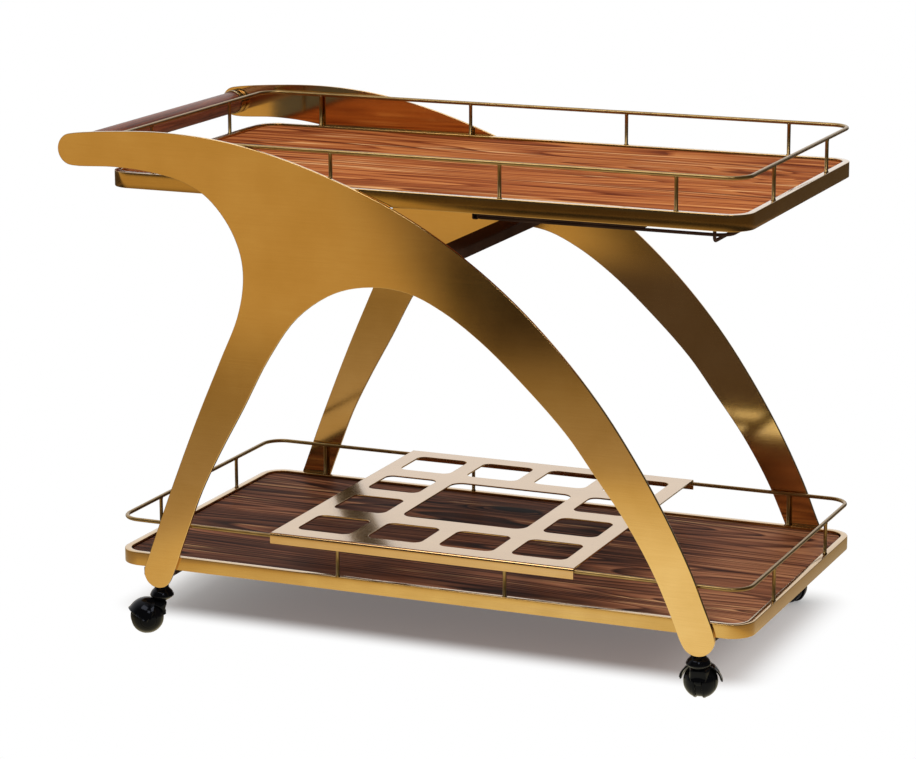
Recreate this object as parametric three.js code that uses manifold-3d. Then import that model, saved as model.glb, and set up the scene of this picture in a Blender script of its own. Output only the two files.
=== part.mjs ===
// Two-tier bar cart: brass-finished side plates that run out into a push handle, two wood trays
// with rod galleries, a lift-off bottle rack, a hanger for stemmed glasses and four swivel casters.
// Millimetres, +Z up, +X away from the handle, floor at z = 0, origin under the middle of the cart.
import * as THREE from 'three';
import { mergeVertices } from 'three/addons/utils/BufferGeometryUtils.js';
import Module from 'manifold-3d';

const wasm = await Module();
wasm.setup();

// General clearances
const seatGap = 0.3; // between pieces that touch or run on each other
const cutOverrun = 2; // how far a cutting solid sticks out of what it cuts

// Side plates
const legSpan = 856; // from the middle of the rear foot to the middle of the front foot
const plateHeight = 694; // from the bottom of the feet to the top of the shoulder
const footHeight = 73; // floor to the bottom of the feet
const plateThickness = 5;
const rearFootRadius = 23;
const frontFootRadius = 25.5;
const handleTipRadius = 24;
const rearFootShare = 0.489; // share of the leg span that lies behind the middle of the trays
const handleXShare = -0.147; // shares of leg span and plate height
const handleZShare = 0.952;
const rearLegLean = 22; // degrees off plumb at the foot
const frontLegLean = 22;
// Outline stretches as shares: along the leg span from the rear foot, and up the plate height
const undersideShares = [
  [-0.064, 0.92], [0.005, 0.914], [0.067, 0.898], [0.112, 0.869], [0.152, 0.813], [0.174, 0.751],
  [0.178, 0.692], [0.166, 0.618], [0.132, 0.522], [0.084, 0.388], [0.026, 0.211], [-0.014, 0.08],
];
const archShares = [
  [0.058, 0.126], [0.091, 0.229], [0.128, 0.319], [0.174, 0.42], [0.224, 0.534], [0.279, 0.628],
  [0.349, 0.688], [0.417, 0.708], [0.485, 0.702], [0.548, 0.669], [0.615, 0.613], [0.689, 0.533],
  [0.767, 0.437], [0.818, 0.356], [0.873, 0.265], [0.921, 0.166], [0.955, 0.075],
];
const backShares = [
  [1.01, 0.106], [0.988, 0.172], [0.942, 0.284], [0.886, 0.398], [0.822, 0.509], [0.744, 0.618],
  [0.657, 0.716], [0.559, 0.803], [0.459, 0.871], [0.349, 0.925], [0.243, 0.965], [0.135, 0.991],
  [0.029, 1], [-0.078, 0.995],
];
const outlineSteps = 2; // facets between two neighbouring outline points
const halfRoundSteps = 6; // outline points round a foot or the handle's end, less one

// Trays
const trayOverhang = 72.5; // each end of the lower tray past the leg span
const topTrayLength = 988.5;
const trayWidth = 526;
const trayCornerRadius = 36;
const topRimHeight = 23.5;
const lowerRimHeight = 20.5;
const rimWidth = 10;
const ledgeWidth = 8; // inner ledge that carries the wood panel
const ledgeThickness = 3;
const panelDrop = 3.2; // top of a rim down to the top of its wood
const panelGap = 1.5; // shadow gap round the wood panel
const topTrayDrop = 63.3; // shoulder of the plates down to the top of the upper rim
const lowerTrayRise = 50.3; // bottom of the feet up to the top of the lower rim
const topTrayShift = 2.75; // middle of each tray, away from the handle
const lowerTrayShift = 9;
const cornerSteps = 5; // facets in a quarter round

// Galleries
const railRadius = 3;
const postRadius = 2.75;
const railHeight = 50; // top of the rim to the middle of the rail
const longPostInset = 98; // outermost post of a long side in from the end posts
const endPostInset = 130; // posts of an end in from the posts of the long sides
const longPostCount = 4;
const endPostCount = 2;
const pegRadius = 1.8; // post ends that plug into the rim
const pegLength = 8;
const rodSides = 8;
const postSides = 6;

// Screws that hold the rims to the plates, put in from inside the rim
const rimScrewRadius = 2.5;
const rimScrewHeadRadius = 4.5;
const rimScrewHeadDepth = 2.5;
const rimScrewBite = 3; // depth in the side plate
const topScrewShares = [0.162, 0.361]; // along the leg span

// Handle
const dowelRadius = 17;
const ferruleWall = 2;
const ferruleLength = 14;
const ferruleBase = 3;
const studRadius = 4;
const studDepth = 30; // in the dowel
const studBite = 3; // in the plate
const roundSides = 20;

// Crossbar between the plates under the upper tray
const crossbarWidth = 38;
const crossbarHeight = 15;
const crossbarWall = 2;
const crossbarXShare = 0.533; // along the leg span
const crossbarDrop = 64; // underside of the upper rim down to the top of the bar

// Beams under the lower tray that carry the casters
const beamWidth = 44;
const beamHeight = 14;
const beamWall = 2;

// Bottle rack that hangs on the lower gallery
const rackThickness = 2.5;
const rackFlange = 14;
const rackCellLength = 86;
const rackWebLength = 28; // web between two cells along the cart
const rackEndMargin = 26;
const rackWebWidth = 40; // web between two cells across the cart
const rackSideMargin = 34;
const rackCells = 4;
const cellCornerRadius = 13;
const bayCornerRadius = 18;
const cellCornerSteps = 3;

// Stemware hanger under the upper tray
const wireRadius = 2.5;
const wireCount = 5;
const wireLoopWidth = 70; // across one hairpin, middle to middle of the wire
const wireBendRadius = 22;
const wireDrop = 11; // underside of the rim down to the middle of the long wires
const wireStart = 91; // ends of the hairpins, from the middle of the tray
const wireEndInset = 34.5; // closed ends of the hairpins, in from the end of the tray
const hangerInset = 33; // outer long wires in from the outside of the rim
const hookEndInset = 50; // hooks in from the end of the tray
const hookInset = 14; // hooks in from the outside of the rim
const hookBend = 6;
const bendSteps = 3;
const hangerRailLength = 250;
const hangerRailWidth = 10;
const endBarWidth = 9;
const endBarDrop = 13.5; // underside of the rim down to the bottom of the bar

// Casters
const casterSetback = 4; // swivel axis behind the middle of the foot
const casterInset = 14; // swivel axis in from the outside of the tray
const casterTrail = 23.5; // swivel axis to wheel axle
const ballRadius = 25; // the two domed wheels of a caster make up a ball
const wheelGap = 10; // between the two wheels
const wheelTread = 2.5; // width of the straight part of the tread
const wheelBoreDepth = 14;
const wheelSides = 20;
const domeSteps = 3;
const axleRadius = 3;
const webThickness = 9; // upright web between the wheels
const webRadius = 20;
const hoodClearance = 2.5; // ball to the inside of the hood
const hoodWall = 2.5;
const hoodDrop = 3; // where the two edges of the hood meet, below the axle
const hoodFrontAngle = 70; // degrees up from the level on the stem side
const hoodBackAngle = 159;
const throatAngle = 50; // narrow front of the hood, under the cup
const throatWidth = 13;
const hoodSides = 16;
const bossRadius = 9;
const bossTop = 48.5; // above the floor
const bossBottom = 35;
const pinRadius = 3;
const pinBottom = 31;
const pinHeadRadius = 6;
const pinHeadHeight = 4;
const pinSides = 12;
const cupFootRadius = 7;
const cupRise = 9; // bottom of the cup up to its ring
const cupRingRadius = 18;
const cupRingHeight = 2.5;
const cupTaper = 8; // ring up to the neck
const cupNeckRadius = 10.5;
const cupSides = 16;
const casterTurns = { // degrees from +X to the trailing wheel, as the cart stands
  rear_right: -145.5,
  rear_left: 145.5,
  front_right: 99.5,
  front_left: 150,
};

// Worked out from the sizes above
const rearFootX = -rearFootShare * legSpan;
const frontFootX = rearFootX + legSpan;
const plateInside = trayWidth / 2 + seatGap;
const handleX = rearFootX + handleXShare * legSpan;
const handleZ = footHeight + handleZShare * plateHeight;
const topTrayZ = footHeight + plateHeight - topTrayDrop;
const lowerTrayZ = footHeight + lowerTrayRise;
const topUnderside = topTrayZ - topRimHeight;
const lowerUnderside = lowerTrayZ - lowerRimHeight;
const lowerTrayLength = legSpan + 2 * trayOverhang;
const innerWidth = trayWidth - 2 * rimWidth;
const innerCornerRadius = trayCornerRadius - rimWidth;
const postY = trayWidth / 2 - rimWidth / 2;
const handleTip = handleX - handleTipRadius;
const farEnd = lowerTrayLength / 2 + lowerTrayShift;
const originX = (handleTip + farEnd) / 2;
const rackRailTop = lowerTrayZ + railHeight + railRadius;
const wheelInside = wheelGap / 2;
const wheelRadius = Math.sqrt(ballRadius * ballRadius - wheelInside * wheelInside);
const axleHeight = wheelRadius * Math.cos(Math.PI / wheelSides);

// Materials
const brass = new THREE.MeshStandardMaterial({ color: 0xb5883c, roughness: 0.3, metalness: 1 });
const topWood = new THREE.MeshStandardMaterial({ color: 0xa35a33, roughness: 0.45, metalness: 0 });
const lowerWood = new THREE.MeshStandardMaterial({ color: 0x5b3426, roughness: 0.45, metalness: 0 });
const handleWood = new THREE.MeshStandardMaterial({ color: 0x6e3a24, roughness: 0.4, metalness: 0 });
const darkSteel = new THREE.MeshStandardMaterial({ color: 0x2a1d14, roughness: 0.4, metalness: 1 });
const zincSteel = new THREE.MeshStandardMaterial({ color: 0xb8b8b4, roughness: 0.35, metalness: 1 });
const blackPlastic = new THREE.MeshStandardMaterial({ color: 0x0b0b0d, roughness: 0.2, metalness: 0 });

// Solid modelling

// Position-only triangles of a geometry with shared corners, without the flat triangles at a lathe's poles
function sharedTriangles(geometry) {
  const bare = geometry.index ? geometry.toNonIndexed() : geometry.clone();
  bare.deleteAttribute('normal');
  bare.deleteAttribute('uv');
  const merged = mergeVertices(bare);
  const index = merged.index.array;
  const kept = [];
  for (let i = 0; i < index.length; i += 3) {
    const [a, b, c] = [index[i], index[i + 1], index[i + 2]];
    if (a !== b && b !== c && c !== a) kept.push(a, b, c);
  }
  return { positions: merged.getAttribute('position').array, corners: kept };
}

function signedVolume(positions, corners) {
  const [a, b, c] = [new THREE.Vector3(), new THREE.Vector3(), new THREE.Vector3()];
  let volume = 0;
  for (let i = 0; i < corners.length; i += 3) {
    a.fromArray(positions, 3 * corners[i]);
    b.fromArray(positions, 3 * corners[i + 1]);
    c.fromArray(positions, 3 * corners[i + 2]);
    volume += a.dot(b.cross(c)) / 6;
  }
  return volume;
}

function toSolid(geometry) {
  const { positions, corners } = sharedTriangles(geometry);
  if (signedVolume(positions, corners) < 0) corners.reverse();
  const mesh = new wasm.Mesh({
    numProp: 3,
    vertProperties: new Float32Array(positions),
    triVerts: new Uint32Array(corners),
  });
  return new wasm.Manifold(mesh);
}

function toGeometry(solid) {
  const mesh = solid.getMesh();
  const geometry = new THREE.BufferGeometry();
  geometry.setAttribute('position', new THREE.BufferAttribute(mesh.vertProperties, 3));
  geometry.setIndex(new THREE.BufferAttribute(mesh.triVerts, 1));
  const faceted = geometry.toNonIndexed();
  faceted.computeVertexNormals();
  return faceted;
}

function subtractAll(solid, cutters) {
  return cutters.reduce((rest, cutter) => rest.subtract(cutter), solid);
}

function addAll(solid, others) {
  return others.reduce((sum, other) => sum.add(other), solid);
}

// Shapes

function roundedRectangle(length, width, radius, steps = cornerSteps) {
  const points = [];
  const corners = [[1, 1, 0], [-1, 1, 90], [-1, -1, 180], [1, -1, 270]];
  for (const [xSide, ySide, start] of corners) {
    const centre = new THREE.Vector2(xSide * (length / 2 - radius), ySide * (width / 2 - radius));
    points.push(...arcPoints(centre, radius, start, start + 90, steps));
  }
  return points;
}

function arcPoints(centre, radius, startDegrees, endDegrees, steps) {
  const points = [];
  for (let i = 0; i <= steps; i += 1) {
    const angle = THREE.MathUtils.degToRad(startDegrees + ((endDegrees - startDegrees) * i) / steps);
    points.push(new THREE.Vector2(centre.x + radius * Math.cos(angle), centre.y + radius * Math.sin(angle)));
  }
  return points;
}

// Flat sheet between two heights, with its outline in x and y
function slab(outline, bottom, top) {
  const geometry = new THREE.ExtrudeGeometry(new THREE.Shape(outline), {
    depth: top - bottom,
    bevelEnabled: false,
  });
  geometry.translate(0, 0, bottom);
  return geometry;
}

// Round solid about the z axis from a profile of radius and height
function turned(profile, sides) {
  const points = profile.map(([radius, height]) => new THREE.Vector2(radius, height));
  const geometry = new THREE.LatheGeometry(points, sides);
  geometry.rotateX(Math.PI / 2);
  return geometry;
}

// Cylinder along y with its start at y = start
function crossCylinder(radius, start, end, sides) {
  const geometry = new THREE.CylinderGeometry(radius, radius, end - start, sides);
  geometry.translate(0, (start + end) / 2, 0);
  return geometry;
}

function uprightCylinder(radius, bottom, top, sides) {
  const geometry = crossCylinder(radius, bottom, top, sides);
  geometry.rotateX(Math.PI / 2);
  return geometry;
}

// Open path through given stations, which an extrusion meets one by one
class StationPath extends THREE.Curve {
  constructor(stations) {
    super();
    this.stations = stations;
  }

  getPoint(share, target = new THREE.Vector3()) {
    const place = share * (this.stations.length - 1);
    const before = Math.min(Math.floor(place), this.stations.length - 2);
    return target.lerpVectors(this.stations[before], this.stations[before + 1], place - before);
  }

  getPointAt(share, target) {
    return this.getPoint(share, target);
  }

  getTangentAt(share, target = new THREE.Vector3()) {
    const last = this.stations.length - 1;
    const here = Math.round(share * last);
    const incoming = new THREE.Vector3();
    const outgoing = new THREE.Vector3();
    if (here > 0) incoming.subVectors(this.stations[here], this.stations[here - 1]).normalize();
    if (here < last) outgoing.subVectors(this.stations[here + 1], this.stations[here]).normalize();
    return target.addVectors(incoming, outgoing).normalize();
  }
}

// Stations along a polyline whose corners are rounded to one bend radius
function bentStations(corners, bendRadius, steps) {
  const stations = [corners[0]];
  for (let i = 1; i < corners.length - 1; i += 1) {
    const into = new THREE.Vector3().subVectors(corners[i], corners[i - 1]).normalize();
    const out = new THREE.Vector3().subVectors(corners[i + 1], corners[i]).normalize();
    const turn = into.angleTo(out);
    const setback = bendRadius * Math.tan(turn / 2);
    const inward = new THREE.Vector3().subVectors(out, into).normalize();
    const centre = corners[i].clone().addScaledVector(inward, bendRadius / Math.cos(turn / 2));
    const start = corners[i].clone().addScaledVector(into, -setback);
    const spoke = new THREE.Vector3().subVectors(start, centre);
    const axis = new THREE.Vector3().crossVectors(into, out).normalize();
    for (let k = 0; k <= steps; k += 1) {
      const arm = spoke.clone().applyAxisAngle(axis, (turn * k) / steps);
      stations.push(centre.clone().add(arm));
    }
  }
  stations.push(corners[corners.length - 1]);
  return stations;
}

function rodAlong(stations, radius) {
  const section = [];
  for (let i = 0; i < rodSides; i += 1) {
    const angle = (2 * Math.PI * (i + 0.5)) / rodSides;
    section.push(new THREE.Vector2(radius * Math.cos(angle), radius * Math.sin(angle)));
  }
  return new THREE.ExtrudeGeometry(new THREE.Shape(section), {
    steps: stations.length - 1,
    extrudePath: new StationPath(stations),
    bevelEnabled: false,
  });
}

// Scene graph

const cart = new THREE.Group();
const frame = new THREE.Group();
frame.position.x = -originX;
cart.add(frame);

function addPiece(name, shape, material, parent = frame) {
  const geometry = shape.isBufferGeometry ? toGeometry(toSolid(shape)) : toGeometry(shape);
  const mesh = new THREE.Mesh(geometry, material);
  mesh.name = name;
  parent.add(mesh);
  return mesh;
}

// Side plates

function plateOutline() {
  const fromShares = ([x, z]) => new THREE.Vector2(rearFootX + x * legSpan, footHeight + z * plateHeight);
  const tip = new THREE.Vector2(handleX, handleZ);
  const rearFoot = new THREE.Vector2(rearFootX, footHeight + rearFootRadius);
  const frontFoot = new THREE.Vector2(frontFootX, footHeight + frontFootRadius);
  const knots = [
    ...arcPoints(tip, handleTipRadius, 90, 270, halfRoundSteps),
    ...undersideShares.map(fromShares),
    ...arcPoints(rearFoot, rearFootRadius, 180 - rearLegLean, 360 - rearLegLean, halfRoundSteps),
    ...archShares.map(fromShares),
    ...arcPoints(frontFoot, frontFootRadius, 180 + frontLegLean, 360 + frontLegLean, halfRoundSteps),
    ...backShares.map(fromShares),
  ];
  const spaced = knots.map((knot) => new THREE.Vector3(knot.x, knot.y, 0));
  const curve = new THREE.CatmullRomCurve3(spaced, true, 'centripetal');
  return curve.getPoints(outlineSteps * knots.length).slice(0, -1);
}

// Where screws go from a rim into the plates: x on the plate, height of the screw
const topRimScrews = topScrewShares.map((share) => ({
  x: rearFootX + share * legSpan,
  z: topTrayZ - topRimHeight / 2,
}));
const lowerRimScrews = [rearFootX, frontFootX].map((x) => ({
  x,
  z: lowerTrayZ - lowerRimHeight / 2,
}));

function makeSidePlate(side) {
  const sheet = slab(plateOutline(), 0, plateThickness);
  sheet.rotateX(Math.PI / 2);
  sheet.translate(0, plateThickness / 2 + side * (plateInside + plateThickness / 2), 0);
  const holes = [...topRimScrews, ...lowerRimScrews].map(({ x, z }) => {
    const depth = rimScrewBite + 2 * seatGap;
    const hole = crossCylinder(rimScrewRadius + seatGap, -cutOverrun, depth, rodSides);
    return { hole, x, z };
  });
  const studHole = crossCylinder(studRadius + seatGap, -cutOverrun, studBite + seatGap, roundSides);
  holes.push({ hole: studHole, x: handleX, z: handleZ });
  const cutters = holes.map(({ hole, x, z }) => {
    if (side < 0) hole.rotateZ(Math.PI);
    return toSolid(hole.translate(x, side * plateInside, z));
  });
  return subtractAll(toSolid(sheet), cutters);
}

addPiece('side_plate_right', makeSidePlate(-1), brass);
addPiece('side_plate_left', makeSidePlate(1), brass);

// Handle: wood dowel in two ferrules, each on a stud in its plate

const dowelEnd = plateInside - seatGap - ferruleBase - seatGap;
const studEnd = dowelEnd - studDepth;

function makeDowel() {
  const rod = crossCylinder(dowelRadius, -dowelEnd, dowelEnd, roundSides);
  const bores = [-1, 1].map((side) => {
    const bore = crossCylinder(studRadius + seatGap, studEnd - seatGap, dowelEnd + cutOverrun, rodSides);
    if (side < 0) bore.rotateZ(Math.PI);
    return toSolid(bore);
  });
  return subtractAll(toSolid(rod), bores);
}

function makeFerrule() {
  const outer = dowelRadius + seatGap + ferruleWall;
  const back = plateInside - seatGap;
  const mouth = back - ferruleLength;
  const base = crossCylinder(outer, mouth, back, roundSides);
  const inner = dowelRadius + seatGap;
  const socket = crossCylinder(inner, mouth - cutOverrun, dowelEnd + seatGap, roundSides);
  const clear = studRadius + seatGap;
  const bore = crossCylinder(clear, dowelEnd - cutOverrun, plateInside + cutOverrun, rodSides);
  return subtractAll(toSolid(base), [toSolid(socket), toSolid(bore)]);
}

function placeAtHandle(mesh, side) {
  mesh.position.set(handleX, 0, handleZ);
  if (side < 0) mesh.rotation.z = Math.PI;
}

placeAtHandle(addPiece('handle_dowel', makeDowel(), handleWood), 1);
for (const [sideName, side] of [['right', -1], ['left', 1]]) {
  placeAtHandle(addPiece(`handle_ferrule_${sideName}`, makeFerrule(), brass), side);
  const stud = crossCylinder(studRadius, studEnd, plateInside + studBite, rodSides);
  placeAtHandle(addPiece(`handle_stud_${sideName}`, stud, zincSteel), side);
}

// Trays: height zero is the top of the rim

// Evenly spaced places from minus the reach to plus the reach
function spreadEvenly(count, reach) {
  if (count === 1) return [0];
  const places = [];
  for (let i = 0; i < count; i += 1) places.push(((2 * i) / (count - 1) - 1) * reach);
  return places;
}

// Middle of the rim at the ends of a tray of this length
function endRowX(trayLength) {
  return trayLength / 2 - rimWidth / 2;
}

// Underside of a tray's wood, from the top of its rim
function panelBottom(rimHeight) {
  return -rimHeight + ledgeThickness + seatGap;
}

function postPlaces(trayLength) {
  const endX = endRowX(trayLength);
  const longPostXs = spreadEvenly(longPostCount, endX - longPostInset);
  const endPostYs = spreadEvenly(endPostCount, postY - endPostInset);
  return [
    ...longPostXs.flatMap((x) => [[x, -postY], [x, postY]]),
    ...endPostYs.flatMap((y) => [[-endX, y], [endX, y]]),
  ];
}

function screwProfile(extraRadius) {
  const length = rimWidth + seatGap + rimScrewBite;
  return [
    [0, -extraRadius],
    [rimScrewHeadRadius + extraRadius, -extraRadius],
    [rimScrewHeadRadius + extraRadius, 0],
    [rimScrewRadius + extraRadius, rimScrewHeadDepth],
    [rimScrewRadius + extraRadius, length],
    [0, length],
  ];
}

// Screw or its hole, axis along y from the inside of the rim outwards
function makeRimScrew(side, x, z, extraRadius) {
  const geometry = turned(screwProfile(extraRadius), rodSides);
  geometry.rotateX(-Math.PI / 2);
  if (side < 0) geometry.rotateZ(Math.PI);
  return geometry.translate(x, side * (innerWidth / 2), z);
}

function makeRim({ length, rimHeight }, screwXs) {
  const innerLength = length - 2 * rimWidth;
  const block = slab(roundedRectangle(length, trayWidth, trayCornerRadius), -rimHeight, 0);
  const pocket = slab(
    roundedRectangle(innerLength, innerWidth, innerCornerRadius),
    -rimHeight + ledgeThickness,
    cutOverrun,
  );
  const opening = slab(
    roundedRectangle(
      innerLength - 2 * ledgeWidth,
      innerWidth - 2 * ledgeWidth,
      innerCornerRadius - ledgeWidth,
    ),
    -rimHeight - cutOverrun,
    0,
  );
  const cutters = [toSolid(pocket), toSolid(opening)];
  for (const [x, y] of postPlaces(length)) {
    const hole = uprightCylinder(pegRadius + seatGap, -pegLength - seatGap, cutOverrun, postSides);
    cutters.push(toSolid(hole.translate(x, y, 0)));
  }
  for (const x of screwXs) {
    for (const side of [-1, 1]) cutters.push(toSolid(makeRimScrew(side, x, -rimHeight / 2, seatGap)));
  }
  return subtractAll(toSolid(block), cutters);
}

function makePanel({ length, rimHeight }) {
  const outline = roundedRectangle(
    length - 2 * (rimWidth + panelGap),
    innerWidth - 2 * panelGap,
    innerCornerRadius - panelGap,
  );
  return slab(outline, panelBottom(rimHeight), -panelDrop);
}

function makeGallery({ length }) {
  const corner = trayCornerRadius - rimWidth / 2;
  const endX = endRowX(length);
  const half = [
    [endX, 0],
    [endX, postY],
    [-endX, postY],
    [-endX, 0],
  ].map(([x, y]) => new THREE.Vector3(x, y, railHeight));
  const firstHalf = rodAlong(bentStations(half, corner, cornerSteps), railRadius);
  const secondHalf = firstHalf.clone().rotateZ(Math.PI);
  const posts = postPlaces(length).flatMap(([x, y]) => [
    toSolid(uprightCylinder(postRadius, seatGap, railHeight, postSides).translate(x, y, 0)),
    toSolid(uprightCylinder(pegRadius, -pegLength, railHeight / 2, postSides).translate(x, y, 0)),
  ]);
  return addAll(toSolid(firstHalf), [toSolid(secondHalf), ...posts]);
}

const trays = [
  {
    name: 'top',
    x: topTrayShift,
    z: topTrayZ,
    length: topTrayLength,
    rimHeight: topRimHeight,
    screws: topRimScrews,
    wood: topWood,
  },
  {
    name: 'lower',
    x: lowerTrayShift,
    z: lowerTrayZ,
    length: lowerTrayLength,
    rimHeight: lowerRimHeight,
    screws: lowerRimScrews,
    wood: lowerWood,
  },
];
for (const tray of trays) {
  const screwXs = tray.screws.map(({ x }) => x - tray.x);
  const level = new THREE.Group();
  level.position.set(tray.x, 0, tray.z);
  frame.add(level);
  addPiece(`${tray.name}_tray_rim`, makeRim(tray, screwXs), brass, level);
  addPiece(`${tray.name}_tray_panel`, makePanel(tray), tray.wood, level);
  addPiece(`${tray.name}_gallery`, makeGallery(tray), brass, level);
  screwXs.forEach((x, index) => {
    const end = index === 0 ? 'rear' : 'front';
    for (const [sideName, side] of [['right', -1], ['left', 1]]) {
      const screw = makeRimScrew(side, x, -tray.rimHeight / 2, 0);
      addPiece(`${tray.name}_rim_screw_${end}_${sideName}`, screw, zincSteel, level);
    }
  });
}

// Box tubes across the cart, from plate to plate

function makeBoxTube(width, height, wall) {
  const outline = new THREE.Shape(rectangle(width, height));
  outline.holes.push(new THREE.Path(rectangle(width - 2 * wall, height - 2 * wall)));
  const geometry = new THREE.ExtrudeGeometry(outline, { depth: trayWidth, bevelEnabled: false });
  geometry.translate(0, 0, -trayWidth / 2);
  return geometry.rotateX(Math.PI / 2);
}

function rectangle(width, height) {
  const corners = [[-1, -1], [1, -1], [1, 1], [-1, 1]];
  return corners.map(([x, y]) => new THREE.Vector2((x * width) / 2, (y * height) / 2));
}

const crossbarTube = makeBoxTube(crossbarWidth, crossbarHeight, crossbarWall);
const crossbar = addPiece('upper_crossbar', crossbarTube, darkSteel);
crossbar.position.x = rearFootX + crossbarXShare * legSpan;
crossbar.position.z = topUnderside - crossbarDrop - crossbarHeight / 2;

// Caster beams

const casterY = trayWidth / 2 - casterInset;
const beamTop = lowerUnderside - seatGap;
const beamBottom = beamTop - beamHeight;
const beamPlaces = { rear: rearFootX - casterSetback, front: frontFootX - casterSetback };

function makeCasterBeam() {
  const tube = toSolid(makeBoxTube(beamWidth, beamHeight, beamWall));
  const holes = [-1, 1].map((side) => {
    const hole = uprightCylinder(pinRadius + seatGap, -beamHeight, 0, cupSides);
    return toSolid(hole.translate(0, side * casterY, 0));
  });
  return subtractAll(tube, holes);
}

for (const [end, x] of Object.entries(beamPlaces)) {
  const beam = addPiece(`caster_beam_${end}`, makeCasterBeam(), darkSteel);
  beam.position.set(x, 0, beamBottom + beamHeight / 2);
}

// Bottle rack: flat sheet with cells and two turned-down flanges outside the gallery rails

const rackLength = rackCells * rackCellLength + (rackCells - 1) * rackWebLength + 2 * rackEndMargin;
const rackInside = postY + railRadius + seatGap;
const rackOutside = rackInside + rackThickness;
const rackCellWidth = (2 * rackOutside - 2 * rackSideMargin - (rackCells - 1) * rackWebWidth) / rackCells;

function makeBottleRack() {
  const outline = rectangle(rackLength, 2 * rackOutside);
  const sheet = toSolid(slab(outline, 0, rackThickness));
  const flanges = [-1, 1].map((side) => {
    const flange = new THREE.BoxGeometry(rackLength, rackThickness, rackFlange + rackThickness);
    const y = side * (rackInside + rackThickness / 2);
    return toSolid(flange.translate(0, y, (rackThickness - rackFlange) / 2));
  });
  const cutters = [];
  const middle = (rackCells - 1) / 2;
  for (let column = 0; column < rackCells; column += 1) {
    for (let row = 0; row < rackCells; row += 1) {
      const inBay = Math.abs(column - middle) < 1 && Math.abs(row - middle) < 1;
      if (inBay) continue;
      const cell = roundedRectangle(rackCellLength, rackCellWidth, cellCornerRadius, cellCornerSteps);
      const x = (column - middle) * (rackCellLength + rackWebLength);
      const y = (row - middle) * (rackCellWidth + rackWebWidth);
      cutters.push(toSolid(slab(cell, -cutOverrun, rackThickness + cutOverrun).translate(x, y, 0)));
    }
  }
  const bay = roundedRectangle(
    2 * rackCellLength + rackWebLength,
    2 * rackCellWidth + rackWebWidth,
    bayCornerRadius,
    cellCornerSteps,
  );
  cutters.push(toSolid(slab(bay, -cutOverrun, rackThickness + cutOverrun)));
  return subtractAll(addAll(sheet, flanges), cutters);
}

const rack = addPiece('bottle_rack', makeBottleRack(), brass);
rack.position.set(lowerTrayShift, 0, rackRailTop + seatGap);

// Stemware hanger: hairpins side by side, two hooks, two rails and an end bar

const longWireZ = topUnderside - wireDrop;
const hangerHalf = trayWidth / 2 - hangerInset;
const panelUnderside = topTrayZ + panelBottom(topRimHeight);
const topTrayEnd = topTrayShift + topTrayLength / 2;
const wireEnd = topTrayEnd - wireEndInset;
const hookX = topTrayEnd - hookEndInset;

spreadEvenly(wireCount, hangerHalf - wireLoopWidth / 2).forEach((middleY, index) => {
  const corners = [
    [wireStart, middleY - wireLoopWidth / 2],
    [wireEnd, middleY - wireLoopWidth / 2],
    [wireEnd, middleY + wireLoopWidth / 2],
    [wireStart, middleY + wireLoopWidth / 2],
  ].map(([x, y]) => new THREE.Vector3(x, y, longWireZ));
  const stations = bentStations(corners, wireBendRadius, bendSteps);
  addPiece(`glass_wire_${index + 1}`, rodAlong(stations, wireRadius), darkSteel);
});

// Hooks from the underside of the rim, inwards under the outer hairpin on each side
const hookZ = longWireZ - 2 * wireRadius - seatGap;
const hookOutside = trayWidth / 2 - hookInset;
const hookInside = hangerHalf - wireLoopWidth - wireRadius;
for (const [sideName, side] of [['right', -1], ['left', 1]]) {
  const corners = [
    [hookOutside, topUnderside - seatGap],
    [hookOutside, hookZ],
    [hookInside, hookZ],
  ].map(([y, z]) => new THREE.Vector3(hookX, side * y, z));
  const stations = bentStations(corners, hookBend, bendSteps);
  addPiece(`glass_hook_${sideName}`, rodAlong(stations, wireRadius), darkSteel);
}

const endBarFront = wireStart - seatGap;
const hangerTop = panelUnderside - seatGap;
const railBottom = longWireZ + wireRadius + seatGap;
for (const [sideName, side] of [['right', -1], ['left', 1]]) {
  const height = hangerTop - railBottom;
  const rail = new THREE.BoxGeometry(hangerRailLength, hangerRailWidth, height);
  rail.translate(wireStart + hangerRailLength / 2, side * hangerHalf, railBottom + height / 2);
  addPiece(`glass_rail_${sideName}`, rail, darkSteel);
}
const endBarHeight = hangerTop - (topUnderside - endBarDrop);
const endBar = new THREE.BoxGeometry(endBarWidth, 2 * hangerHalf + hangerRailWidth, endBarHeight);
endBar.translate(endBarFront - endBarWidth / 2, 0, hangerTop - endBarHeight / 2);
addPiece('glass_end_bar', endBar, darkSteel);

// Casters: local x points from the swivel axis to the wheels, heights are above the floor

const wheelBoreEnd = wheelInside + wheelBoreDepth;
const hoodInnerRadius = ballRadius + hoodClearance;
const hoodOuterRadius = hoodInnerRadius + hoodWall;
const cupBottom = bossTop + seatGap;

function makeWheel() {
  const shoulder = wheelInside + wheelTread;
  const shoulderAngle = Math.asin(shoulder / ballRadius);
  const dome = [];
  for (let i = 1; i < domeSteps; i += 1) {
    const angle = THREE.MathUtils.lerp(shoulderAngle, Math.PI / 2, i / domeSteps);
    dome.push([ballRadius * Math.cos(angle), ballRadius * Math.sin(angle)]);
  }
  const profile = [
    [0, wheelBoreEnd],
    [axleRadius + seatGap, wheelBoreEnd],
    [axleRadius + seatGap, wheelInside],
    [wheelRadius, wheelInside],
    [wheelRadius, shoulder],
    ...dome,
    [0, ballRadius],
  ];
  const wheel = turned(profile, wheelSides).rotateX(-Math.PI / 2);
  return wheel.rotateY(Math.PI / wheelSides);
}

function makeAxle() {
  const half = wheelBoreEnd - seatGap;
  return crossCylinder(axleRadius, -half, half, rodSides);
}

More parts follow.
